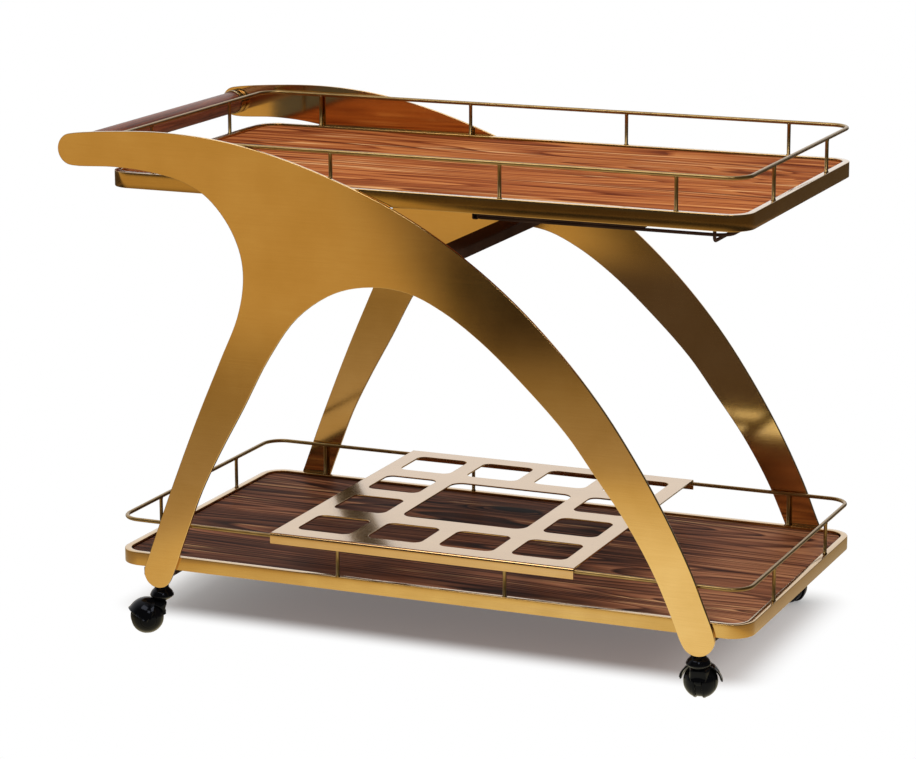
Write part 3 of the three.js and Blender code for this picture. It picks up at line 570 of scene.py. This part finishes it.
def smoothLoop(knots, steps):
    # closed centripetal spline through the knots
    count = len(knots)
    loop = []
    for i in range(count):
        p0, p1, p2, p3 = (Vector(knots[(i + k) % count]) for k in (-1, 0, 1, 2))
        gaps = ((p0, p1), (p1, p2), (p2, p3))
        d0, d1, d2 = (max((b - a).length ** 0.5, 1e-6) for a, b in gaps)
        m1 = ((p1 - p0) / d0 - (p2 - p0) / (d0 + d1) + (p2 - p1) / d1) * d1
        m2 = ((p2 - p1) / d1 - (p3 - p1) / (d1 + d2) + (p3 - p2) / d2) * d1
        c2, c3 = (p2 - p1) * 3 - m1 * 2 - m2, (p1 - p2) * 2 + m1 + m2
        for k in range(steps):
            t = k / steps
            loop.append(tuple(p1 + m1 * t + c2 * t * t + c3 * t ** 3))
    return loop


def plateOutline(look):
    def spread(shares):
        return [(look["rearFoot"] + x * look["legSpan"], look["footHeight"] + z * look["height"])
                for x, z in shares]

    rear = (look["rearFoot"], look["footHeight"] + look["rearFootRadius"])
    front = (look["rearFoot"] + look["legSpan"], look["footHeight"] + look["frontFootRadius"])
    lean = look["lean"]
    knots = [
        *arc(spread([look["tip"]])[0], look["tipRadius"], 90, 270), *spread(look["underside"]),
        *arc(rear, look["rearFootRadius"], 180 - lean, 360 - lean), *spread(look["arch"]),
        *arc(front, look["frontFootRadius"], 180 + lean, 360 + lean), *spread(look["back"]),
    ]
    return smoothLoop(knots, 5)


def makePlates(look):
    outline = plateOutline(look)
    half = look["thickness"] / 2
    for sideName, side in sides.items():
        matrix = Matrix.Translation((0, side * (look["inside"] + half), 0)) @ crosswise
        slab(Parts(), [partial(insetLoop, outline)], -half, half, look["edge"], matrix).make(
            f"sidePlate{sideName}", "plate_brass")


makePlates(plateLook)

print("stage: side plates made")


# Handle

handleLook = {
    "place": (-514.96, 0, 733.69), "dowelRadius": 17, "dowelEnd": 259.7, "dowelEdge": 1.2,
    "ferruleEdge": 0.3,
    "ferrule": [  # (radius, distance from the cart's middle), with a groove before the plate
        (17.3, 254), (17.3, 249), (18.6, 249), (19.3, 249.9), (19.3, 260.4), (18.4, 260.8),
        (18.4, 263), (6.92, 263), (6.92, 260), (17.3, 260), (17.3, 254),
    ],
}


def makeHandle(look):
    matrix = Matrix.Translation(look["place"]) @ sideways
    end, radius = look["dowelEnd"], look["dowelRadius"]
    profile = [(0, -end), (radius, -end), (radius, end), (0, end)]
    lathe(Parts(), softened(profile, look["dowelEdge"]), 48, matrix).make(
        "handleDowel", "handle_wood")
    for sideName, side in sides.items():
        profile = [(reach, side * place) for reach, place in look["ferrule"]]
        lathe(Parts(), softened(profile, look["ferruleEdge"]), 48, matrix).make(
            f"handleFerrule{sideName}", "ferrule_brass")


makeHandle(handleLook)

print("stage: handle made")


# Trays: rim, wood panel and rod gallery on each

trayLook = {
    "width": 526, "cornerRadius": 36, "rimWidth": 10, "ledgeWidth": 8, "ledgeThickness": 3,
    "panelGap": 1.5, "panelSeat": 0.3, "panelDrop": 3.2, "rimEdge": 0.9, "panelEdge": 1.4,
    "cornerSteps": 10,
    "levels": {  # centre along X, top of the rim, length, rim height
        "top": (32.208, 703.7, 988.5, 23.5),
        "lower": (38.458, 123.3, 1001, 20.5),
    },
}
galleryLook = {
    "railHeight": 50, "railRadius": 3, "cornerRadius": 31, "longPostInset": 98,
    "longPostShares": (-1, -1 / 3, 1 / 3, 1), "endPosts": (-128, 128),
    "post": [  # (radius, height over the rim): foot, shaft, and the weld under the rail
        (0, 0.1), (3.6, 0.1), (3.6, 1), (2.75, 1.8), (2.75, 45.8), (3.1, 47), (3.28, 48.2),
        (0, 48.6),
    ],
}


def rimSection(height, look):
    # (inset from the outside, height from the top of the rim), right round, corners softened
    width, ledge = look["rimWidth"], look["rimWidth"] + look["ledgeWidth"]
    lift = look["ledgeThickness"] - height
    corners = [(0, -height), (0, 0), (width, 0), (width, lift), (ledge, lift), (ledge, -height)]
    return softened([corners[-1], *corners, corners[0]], look["rimEdge"])[1:-1]


def makeTray(name, place, look):
    centre, top, length, rimHeight = place

    def outlineWithin(back):
        return rectangle(length - 2 * back, look["width"] - 2 * back, look["cornerRadius"] - back,
                         look["cornerSteps"], (centre, 0))

    outline = outlineWithin(0)
    loops = [[(x, y, top + height) for x, y in outline(inset)]
             for inset, height in rimSection(rimHeight, look)]
    joinLoops(Parts(), loops, closed=True).make(f"{name}TrayRim", "rim_brass")
    bottom = top - rimHeight + look["ledgeThickness"] + look["panelSeat"]
    slab(Parts(), [outlineWithin(look["rimWidth"] + look["panelGap"])], bottom,
         top - look["panelDrop"], look["panelEdge"]).make(f"{name}TrayPanel", f"{name}_wood")


def makeGallery(name, place, tray, look):
    centre, top, length, _ = place
    reachX, reachY = (length - tray["rimWidth"]) / 2, (tray["width"] - tray["rimWidth"]) / 2
    corners = [(centre + x * reachX, y * reachY, top + look["railHeight"])
               for x, y in ((1, -1), (1, 1), (-1, 1), (-1, -1))]
    parts = Parts()
    rod(parts, bentPath(corners, look["cornerRadius"], 12, closed=True), look["railRadius"],
        closed=True)
    longReach = reachX - look["longPostInset"]
    places = [(share * longReach, y * reachY) for share in look["longPostShares"] for y in (-1, 1)]
    places += [(x * reachX, y) for y in look["endPosts"] for x in (-1, 1)]
    for x, y in places:
        lathe(parts, look["post"], 16, Matrix.Translation((centre + x, y, top)))
    parts.make(f"{name}Gallery", "rod_brass")


for levelName, place in trayLook["levels"].items():
    makeTray(levelName, place, trayLook)
    makeGallery(levelName, place, trayLook, galleryLook)

print("stage: trays made")


# Box tubes across the cart

tubeLook = {
    "end": 262.9, "wall": 2, "outerRadius": 2.2, "innerRadius": 1, "edge": 0.3,
    "tubes": {  # centre along X, centre height, width, height
        "upperCrossbar": (67.12, 609.8, 38, 16.4),
        "casterBeamRear": (-393.13, 95.5, 44, 14),
        "casterBeamFront": (462.87, 95.5, 44, 14),
    },
}


def makeTube(name, x, z, width, height, look):
    inner = [side - 2 * look["wall"] for side in (width, height)]
    loops = [rectangle(width, height, look["outerRadius"], 4),
             rectangle(*inner, look["innerRadius"], 4, hole=True)]
    slab(Parts(), loops, -look["end"], look["end"], look["edge"],
         Matrix.Translation((x, 0, z)) @ crosswise).make(name, "dark_steel")


for tubeName, tube in tubeLook["tubes"].items():
    makeTube(tubeName, *tube, tubeLook)

print("stage: tubes made")


# Stemware hanger

hangerLook = {
    "wireRadius": 2.5, "wireZ": 669.2, "start": 120.458, "end": 491.958, "loopWidth": 70,
    "bend": 22, "wireTip": 0.6, "centres": (-195, -97.5, 0, 97.5, 195),
    "hookX": 476.458, "hookTop": 679.9, "hookZ": 663.9, "hookOutside": 249, "hookInside": 157.5,
    "hookBend": 6, "hookTip": 0.9,
    "railLength": 250, "railWidth": 10, "railPlace": 230, "railBottom": 672, "railTop": 683.2,
    "railRadius": 1.5, "railEdge": 0.8,
    "barWidth": 9, "barEnd": 235, "barBottom": 666.7, "barWall": 1.5, "barGap": 0.3,
    "barRadii": (2.2, 1.6), "barEdge": 0.4, "mouth": 16, "coreEdge": 0.1,
}


def makeHanger(look):
    radius, z, start, end = (look[key] for key in ("wireRadius", "wireZ", "start", "end"))
    for index, centre in enumerate(look["centres"]):
        near, far = centre - look["loopWidth"] / 2, centre + look["loopWidth"] / 2
        corners = [(start, near, z), (end, near, z), (end, far, z), (start, far, z)]
        rod(Parts(), bentPath(corners, look["bend"], 10), radius, count=14,
            tip=look["wireTip"]).make(f"glassWire{index + 1}", "dark_steel")
    for sideName, side in sides.items():
        x, outside, low = look["hookX"], side * look["hookOutside"], look["hookZ"]
        corners = [(x, outside, look["hookTop"]), (x, outside, low),
                   (x, side * look["hookInside"], low)]
        rod(Parts(), bentPath(corners, look["hookBend"], 8), radius, count=14,
            tip=look["hookTip"]).make(f"glassHook{sideName}", "dark_steel")
        length = look["railLength"]
        outline = rectangle(length, look["railWidth"], look["railRadius"], 3,
                            (start + length / 2, side * look["railPlace"]), fixedRadius=True)
        slab(Parts(), [outline], look["railBottom"], look["railTop"], look["railEdge"]).make(
            f"glassRail{sideName}", "dark_steel")
    # the end bar is a tube: its open mouth shows under the rim, and a core shuts it further in
    parts = Parts()
    width, height = look["barWidth"], look["railTop"] - look["barBottom"]
    reach, mouth, wall, slack = look["barEnd"], look["mouth"], look["barWall"], look["coreEdge"]
    outerRadius, innerRadius = look["barRadii"]
    matrix = Matrix.Translation((start - look["barGap"] - width / 2, 0,
                                 look["barBottom"] + height / 2)) @ crosswise
    loops = [rectangle(width, height, outerRadius, 4, fixedRadius=True),
             rectangle(width - 2 * wall, height - 2 * wall, innerRadius, 4, hole=True)]
    for side in (-1, 1):
        near, far = sorted((side * reach, side * (reach - mouth)))
        slab(parts, loops, -far, -near, look["barEdge"], matrix)
    core = rectangle(width - slack, height - slack, outerRadius, 4, fixedRadius=True)
    slab(parts, [core], -reach + mouth / 2, reach - mouth / 2, slack, matrix, steps=1)
    parts.make("glassEndBar", "dark_steel")


makeHanger(hangerLook)

print("stage: hanger made")


# Bottle rack: sheet with twelve cells round a bay, long edges folded down

rackLook = {
    "centre": 38.458, "length": 480, "outside": 263.8, "top": 179.1, "thickness": 2.5,
    "flangeBottom": 162.6, "foldRadius": 4, "edge": 0.5, "cell": (86, 84.9), "cellRadius": 13,
    "bay": (200, 209.8), "bayRadius": 18, "cellXs": (-171, -57, 57, 171),
    "cellYs": (-187.35, -62.45, 62.45, 187.35),
}


def makeRack(look):
    centre, half, thick = look["centre"], look["length"] / 2, look["thickness"]
    outside, fold, top = look["outside"], look["foldRadius"], look["top"]
    flat, edge, bottom = outside - fold, look["edge"], look["flangeBottom"]

    def sheet(inset):
        return [(centre + a * (half - inset), b * flat)
                for a, b in ((1, -1), (1, 1), (-1, 1), (-1, -1))]

    loops = [sheet]
    for i, x in enumerate(look["cellXs"]):
        for j, y in enumerate(look["cellYs"]):
            if i in (1, 2) and j in (1, 2):  # the bay's place
                continue
            loops.append(rectangle(*look["cell"], look["cellRadius"], 6, (centre + x, y),
                                   hole=True))
    loops.append(rectangle(*look["bay"], look["bayRadius"], 6, (centre, 0), hole=True))
    parts = Parts()
    slab(parts, loops, top - thick, top, edge)

    bendPlace = (flat, top - fold)
    section = [*arc(bendPlace, fold, 90, 0), (outside, bottom + edge), (outside - edge, bottom),
               (outside - thick + edge, bottom), (outside - thick, bottom + edge),
               *arc(bendPlace, fold - thick, 0, 90)]
    for side in (-1, 1):
        flange = [(side * y, z) for y, z in section][::-side]
        slab(parts, [lambda inset: flange], -half, half, 0.1,
             Matrix.Translation((centre, 0, 0)) @ lengthwise, steps=1)
    parts.make("bottleRack", "rack_brass", "rack")


makeRack(rackLook)

print("stage: rack made")


# Casters: twin half-ball wheels under a hood, on a pin in a flared cup

casterLook = {
    "axleHeight": 24.193, "trail": 23.5,
    "ballRadius": 25,
    "wheelBack": [  # (radius, distance from the web's middle): hub, web and tread
        (0, 14), (3.3, 14), (3.3, 5), (9, 5), (10, 6.2), (19.995, 6.2), (20.995, 5),
        (24.095, 5), (24.495, 5.5), (24.495, 7.5),
    ],
    "seamStep": 9, "seam": [(0.35, -0.1), (0.1, -0.7), (-0.35, 0.15)],  # of the hub cap
    "hoodRadius": 30, "hoodWall": 2.5, "hoodDrop": 3, "hoodFront": 70, "hoodBack": 148,
    "hoodReach": 83, "brimFlare": 1.5, "brimWidth": 5, "edgeBulge": 0.6,
    "webThickness": 9, "webRadius": 22.8, "webEdge": 0.5,
    "cowlTop": 48.5, "cowlFoot": 22.5, "cowlLean": 0.35, "cowlFrom": 80, "cowlTo": 14,
    "cowlHalfWidth": 15.5, "cowlTaper": 0.35, "cowlCorner": 14,
    "cupEdge": 1.2,
    "cup": [  # (radius, height)
        (3.5, 48.8), (7, 48.8), (10.5, 50.6), (15.5, 54), (18, 56.6), (18, 58), (17, 60.6),
        (15, 64), (12, 66.8), (10.5, 69.6), (10.5, 86.6), (11.6, 88), (3.5, 88),
    ],
    "places": {  # of the pin along X and Y, and the way the caster points, in degrees
        "rear_right": (-393.126, -249, -145.5), "rear_left": (-393.126, 249, 145.5),
        "front_right": (462.874, -249, 99.5), "front_left": (462.874, 249, 150),
    },
}


def wheelProfile(look):
    radius, steps = look["ballRadius"], 15
    profile = list(look["wheelBack"])
    start = math.degrees(math.asin(profile[-1][1] / radius))
    for i, (reach, place) in enumerate(arc((0, 0), radius, start, 90, steps)[1:-1], 1):
        offsets = look["seam"] if i == look["seamStep"] else [(0, 0)]
        profile += [(reach + out, place + along) for out, along in offsets]
    return [*profile, (0, radius)]


def hoodEdge(degrees, reach, drop):
    # angle about the axle at which a plane through the line below the axle cuts a circle
    angle = math.radians(degrees)
    return angle - math.asin(max(-1, min(1, drop * math.cos(angle) / reach)))


def shellSection(steps):
    # way round a strip of shell: (share across it, share of the wall, bulge of its edge)
    section = [(k / steps, 1, 0) for k in range(steps + 1)]
    section += [(1, 1 - k / 4, math.sin(math.pi * k / 4)) for k in range(1, 4)]
    section += [(1 - k / steps, 0, 0) for k in range(steps + 1)]
    return section + [(0, k / 4, -math.sin(math.pi * k / 4)) for k in range(1, 4)]


def makeVisor(parts, look, matrix):
    # helmet over both wheels, flared to a brim along its two edges
    radius, wall = look["hoodRadius"], look["hoodWall"]
    rows, smallestReach = 28, 6  # the bulge is held down near the poles
    loops = []
    for i in range(rows + 1):
        phi = math.radians(look["hoodReach"]) * (2 * i / rows - 1)
        reach = radius * math.cos(phi)
        start, end = (hoodEdge(look[key], reach, look["hoodDrop"])
                      for key in ("hoodFront", "hoodBack"))
        loop = []
        for share, depth, bulge in shellSection(18):
            fromEdge = min(share, 1 - share) * (end - start) * reach
            flare = look["brimFlare"] * max(0, 1 - fromEdge / look["brimWidth"]) ** 2
            out = radius - wall * (1 - depth) + flare
            theta = start + (end - start) * share
            theta += bulge * look["edgeBulge"] / max(reach, smallestReach)
            level = out * math.cos(phi)
            loop.append((level * math.cos(theta), out * math.sin(phi), level * math.sin(theta)))
        loops.append(loop)
    joinLoops(parts, loops, matrix)


def makeCowl(parts, look, matrix):
    # housing of the pin: it grows out of the helmet's front, flat on top under the cup
    outside, inside = look["hoodRadius"] - 0.2, look["hoodRadius"] - look["hoodWall"] + 0.2
    top, sharpness = look["cowlTop"] - look["axleHeight"], look["cowlCorner"]
    steps, loops = 30, []
    for i in range(steps + 1):
        share = i / steps
        theta = math.radians(look["cowlFrom"] + (look["cowlTo"] - look["cowlFrom"]) * share)
        half = look["cowlHalfWidth"] * (1 - look["cowlTaper"] * share ** 2)
        half *= min(1, 0.72 + 3 * share)  # drawn in where it starts
        slope = math.cos(theta) - look["cowlLean"] * math.sin(theta)
        flatTop, face = top / math.sin(theta), look["cowlFoot"] / max(0.05, slope)
        corner = (flatTop ** -sharpness + face ** -sharpness) ** (-1 / sharpness)
        loop = []
        for across, depth, bulge in shellSection(16):
            fromMiddle = 2 * across - 1
            y = fromMiddle * half + bulge * look["edgeBulge"]
            ball, low = math.sqrt(outside ** 2 - y ** 2), math.sqrt(inside ** 2 - y ** 2)
            rise = max(0, corner - ball) * math.sqrt(max(0, 1 - abs(fromMiddle) ** 5))
            level = low + (ball + rise - low) * depth
            loop.append((level * math.cos(theta), y, level * math.sin(theta)))
        loops.append(loop)
    joinLoops(parts, loops, matrix)


def makeCaster(name, x, y, turn, look):
    stem = Matrix.Translation((x, y, 0))
    ball = stem @ turned(turn + 180, "Z") @ Matrix.Translation(
        (-look["trail"], 0, look["axleHeight"]))
    title = "caster" + name.title().replace("_", "")
    swivel = f"swivel_{name}"

    cup = softened(look["cup"], look["cupEdge"])
    lathe(Parts(), cup + [cup[0]], 48, stem).make(f"{title}Cup", "hood_plastic")

    parts = Parts()
    makeVisor(parts, look, ball)
    makeCowl(parts, look, ball)
    hood = parts.make(f"{title}Hood", "hood_plastic", swivel)
    hood.data.set_sharp_from_angle(angle=math.radians(60))

    # upright web between the wheels, which fills the hood from its front to its back
    rim, half = look["hoodRadius"] - look["hoodWall"] / 2, look["webThickness"] / 2
    loop = []
    for degrees in range(0, 360, 6):
        reach = rim if 4 < degrees < look["hoodBack"] - 2 else look["webRadius"]
        angle = math.radians(degrees)
        loop.append((reach * math.cos(angle), reach * math.sin(angle)))
    slab(Parts(), [partial(insetLoop, loop)], -half, half, look["webEdge"],
         ball @ crosswise).make(f"{title}Fork", "hood_plastic", swivel, replaces=False)

    for letter, sideName, side in (("a", "Left", 1), ("b", "Right", -1)):
        profile = [(reach, side * place) for reach, place in wheelProfile(look)]
        wheel = lathe(Parts(), profile, 56, ball @ sideways).make(
            f"{title}Wheel{sideName}", "wheel_plastic", f"wheel_{name}_{letter}")
        wheel.data.set_sharp_from_angle(angle=math.radians(35))


for casterName, place in casterLook["places"].items():
    makeCaster(casterName, *place, casterLook)

print("stage: casters made")


# Hidden fixings keep their solids and get their plating

for nodeName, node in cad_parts.items():
    if any(word in nodeName for word in ("_stud_", "_screw_", "_pin", "_axle")):
        for materialSlot in node.material_slots:
            materialSlot.material = finishes["zinc"]


# Floor, studio and light; the camera sees white paper, brass sees painted light and shade on the
# floor and a dimmer room

studioLook = {
    "paper": "#F6F6F5",
    "shadowArea": ((0.0, 0.07, 0), (0.46, 0.19, 0)),  # middle and half size of the shadow's floor
    "shadowFade": (0.0, 0.085), "shadowLift": 0.12,
    "ambient": 0.55,
    "lamps": {  # place, aim, size, watts, and whether brass shows it
        "overheadBox": ((-0.4, -1.4, 2.5), (0.0, 0.0, 0.3), (1.6, 1.1), 24, True),
        "sideBox": ((2.5, -1.2, 1.7), (0.2, 0.0, 0.2), (1.0, 1.2), 38, False),
        "sparkBox": ((1.3, -2.2, 2.3), (0.0, -0.2, 0.1), (0.7, 0.7), 8, True),
    },
    "pool": (0.15, -0.6, 0), "poolLevel": 1.12, "poolReach": 3.6,  # painted pool of light on the floor, which only metal sees
    # painted light and shade: how the painted pool fades, through dark bands, out to the far floor
    "poolFalloff": [
        (0.0, "#FFFFF4"), (0.05, "#FFFDE5"), (0.1, "#FBF5D6"), (0.165, "#E9DDB6"),
        (0.2, "#DCC997"), (0.235, "#BAA886"), (0.29, "#AA997C"), (0.39, "#998661"),
        (0.455, "#887655"), (0.53, "#4A3E2F"), (0.58, "#362B20"), (0.69, "#27251F"),
        (0.75, "#2C2823"), (0.8, "#3A3229"), (0.88, "#6C5D45"), (0.925, "#86694A"),
        (0.967, "#554A34"), (1.0, "#4E3F2A"),
    ],
    # painted reflection: a pale warm glowing patch on the floor to the left, which metal sees as a
    # board
    "paintedBoardLevel": 0.67, "paintedBoardTint": "#FFDD95", "paintedBoardSlant": 0.55,
    "paintedBoardEdge": (0.573, 0.393), "paintedBoardStart": (-1.35, -2.45),
    # the unlit room in front, the way to the white backdrop, and where that ends on the right
    "room": 0.06, "roomEdge": (-0.6, 0.1), "backdropEnd": (0.1, 0.28),
    # painted shade: dark cards that only reflections see, darkening the far plate's inside at its
    # front leg and at its arm
    "paintedShadeCards": {
        "lowFlag": {"y": -0.2, "x": (-0.1, 0.46), "z": (0.19, 0.46), "soft": 0.08,
                    "tint": "#FFE0CD"},
        "armFlag": {"y": -0.2, "x": (-0.68, -0.42), "z": (0.6, 0.74), "soft": 0.02,
                    "tint": "#FFFFFF"},
    },
}
white = (1, 1, 1, 1)


def makeCard(name, corners, materialName):
    mesh = bpy.data.meshes.new(name)
    mesh.from_pydata(corners, [], [(0, 1, 2, 3)])
    material = bpy.data.materials.new(materialName)
    mesh.materials.append(material)
    card = bpy.data.objects.new(name, mesh)
    scene.collection.objects.link(card)
    return card, startTree(material)


def makeFloor(look):
    reach = 16
    floor, add = makeCard("floor", [(-reach, -reach, 0), (reach, -reach, 0), (reach, reach, 0),
                                    (-reach, reach, 0)], "paperSweep")
    place = add("TexCoord").outputs["Object"]
    # distance from the shadow's part of the floor
    middle, half = look["shadowArea"]
    distance = place
    for operation, settings in (("SUBTRACT", {1: middle}), ("ABSOLUTE", {}),
                                ("SUBTRACT", {1: half}), ("MAXIMUM", {1: (0, 0, 0)}),
                                ("LENGTH", {})):
        distance = add(f"VectorMath {operation}", settings, {0: distance})
    fade = {**smooth, "From": look["shadowFade"]}
    # white paper: it keeps the shadow under the cart and is plain white from there on
    paper = add("BsdfDiffuse", {"Color": look["paper"]})
    glow = add("Emission", {"Color": white})
    plain = add("MapRange", {**fade, "To Min": look["shadowLift"]}, {"Value": distance})
    seen = add("MixShader", {}, {0: plain, 1: paper, 2: glow})
    # painted reflection: metal sees a painted pool of light on the paper, a painted pale board
    # patch to the left and painted dim floor past them, all glowing and lit by no lamp
    fromPool = add("VectorMath DISTANCE", {1: look["pool"]}, {0: place})
    share = add("Math DIVIDE", {1: look["poolReach"]}, {0: fromPool})
    falloff = add("ValToRGB", {"stops": look["poolFalloff"]}, {0: share})
    axes = add("SeparateXYZ", {}, {0: place})
    slant = add("Math MULTIPLY_ADD", {1: -look["paintedBoardSlant"]},
                {0: axes.outputs[1], 2: axes.outputs[0]})
    across, along = (add("MapRange", {**smooth, "From": look[key]}, {"Value": way}) for key, way in
                     (("paintedBoardEdge", slant), ("paintedBoardStart", axes.outputs[1])))
    paintedBoardMask = add("Math MULTIPLY", {}, {0: across, 1: along})
    paintedPoolGlow = add("Emission", {"Strength": look["poolLevel"]}, {"Color": falloff})
    paintedBoardGlow = add("Emission", {"Color": look["paintedBoardTint"], "Strength": look["paintedBoardLevel"]})
    lit = add("MixShader", {}, {0: paintedBoardMask, 1: paintedPoolGlow, 2: paintedBoardGlow})
    mirrored = add("MixShader", {}, {0: add("MapRange", fade, {"Value": distance}), 1: paper,
                                     2: lit})
    glossy = add("LightPath").outputs["Is Glossy Ray"]
    add("OutputMaterial", {}, {"Surface": add("MixShader", {}, {0: glossy, 1: seen, 2: mirrored})})
    floor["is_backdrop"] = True


def makeFlag(name, look):
    # painted shade: a dark card that brass sees from one side only, standing where there is no
    # card, so that the far plate's inside shows a dark painted reflection; its upper edge is soft
    (left, right), (bottom, top), y = look["x"], look["z"], look["y"]
    shadeCard, add = makeCard(name, [(right, y, bottom), (left, y, bottom), (left, y, top),
                                (right, y, top)], "paintedReflectionShade")
    shadeCard.visible_camera = shadeCard.visible_diffuse = False
    shadeCard.visible_shadow = shadeCard.visible_transmission = False
    # painted shade: a faint warm glow, which the far plate reflects as its dark tone
    paintedShadeGlow = add("Emission", {"Color": look["tint"], "Strength": 0.1})
    facing = add("NewGeometry")
    axes = add("SeparateXYZ", {}, {0: facing.outputs["Position"]})
    softEdge = add("MapRange", {**smooth, "From": (top - look["soft"], top)},
                   {"Value": axes.outputs[2]})
    clearShare = add("Math MAXIMUM", {}, {0: softEdge, 1: facing.outputs["Backfacing"]})
    card = add("MixShader", {}, {0: clearShare, 1: paintedShadeGlow, 2: add("BsdfTransparent")})
    add("OutputMaterial", {}, {"Surface": card})
    shadeCard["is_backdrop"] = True


def makeWorld(look):
    world = bpy.data.worlds.new("studio")
    scene.world = world
    add = startTree(world)
    ambient = add("Background", {"Color": white, "Strength": look["ambient"]})
    backdrop = add("Background", {"Color": white})
    way = add("SeparateXYZ", {}, {0: add("TexCoord").outputs["Generated"]})
    behind = add("MapRange", {**smooth, "From": look["roomEdge"], "To Min": look["room"]},
                 {"Value": way.outputs[1]})
    level = add("MapRange", {**smooth, "From": look["backdropEnd"], "To Max": look["room"]},
                {"Value": way.outputs[0], "To Min": behind})
    mirrored = add("Background", {"Color": white}, {"Strength": level})
    path = add("LightPath").outputs
    seen = add("Math MAXIMUM", {}, {0: path["Is Camera Ray"], 1: path["Is Transmission Ray"]})
    plain = add("MixShader", {}, {0: seen, 1: ambient, 2: backdrop})
    mixed = add("MixShader", {}, {0: path["Is Glossy Ray"], 1: plain, 2: mirrored})
    add("OutputWorld", {}, {"Surface": mixed})


def makeLamp(name, place, aim, size, watts, mirrored):
    data = bpy.data.lights.new(name, "AREA")
    data.shape = "RECTANGLE"
    data.size, data.size_y = size
    data.energy = watts
    lamp = bpy.data.objects.new(name, data)
    lamp.location = place
    lamp.rotation_euler = (Vector(aim) - Vector(place)).to_track_quat("-Z", "Y").to_euler()
    lamp.visible_camera = False
    lamp.visible_glossy = mirrored
    scene.collection.objects.link(lamp)


makeFloor(studioLook)
for shadeCardName, shadeCardLook in studioLook["paintedShadeCards"].items():
    makeFlag(shadeCardName, shadeCardLook)
makeWorld(studioLook)
for lampName, lamp in studioLook["lamps"].items():
    makeLamp(lampName, *lamp)

scene.view_settings.view_transform = "Standard"

print("stage: studio made")

boxes = {"cad": cadBox, "visual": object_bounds()}
{key: [list(corner) for corner in box] for key, box in boxes.items()}
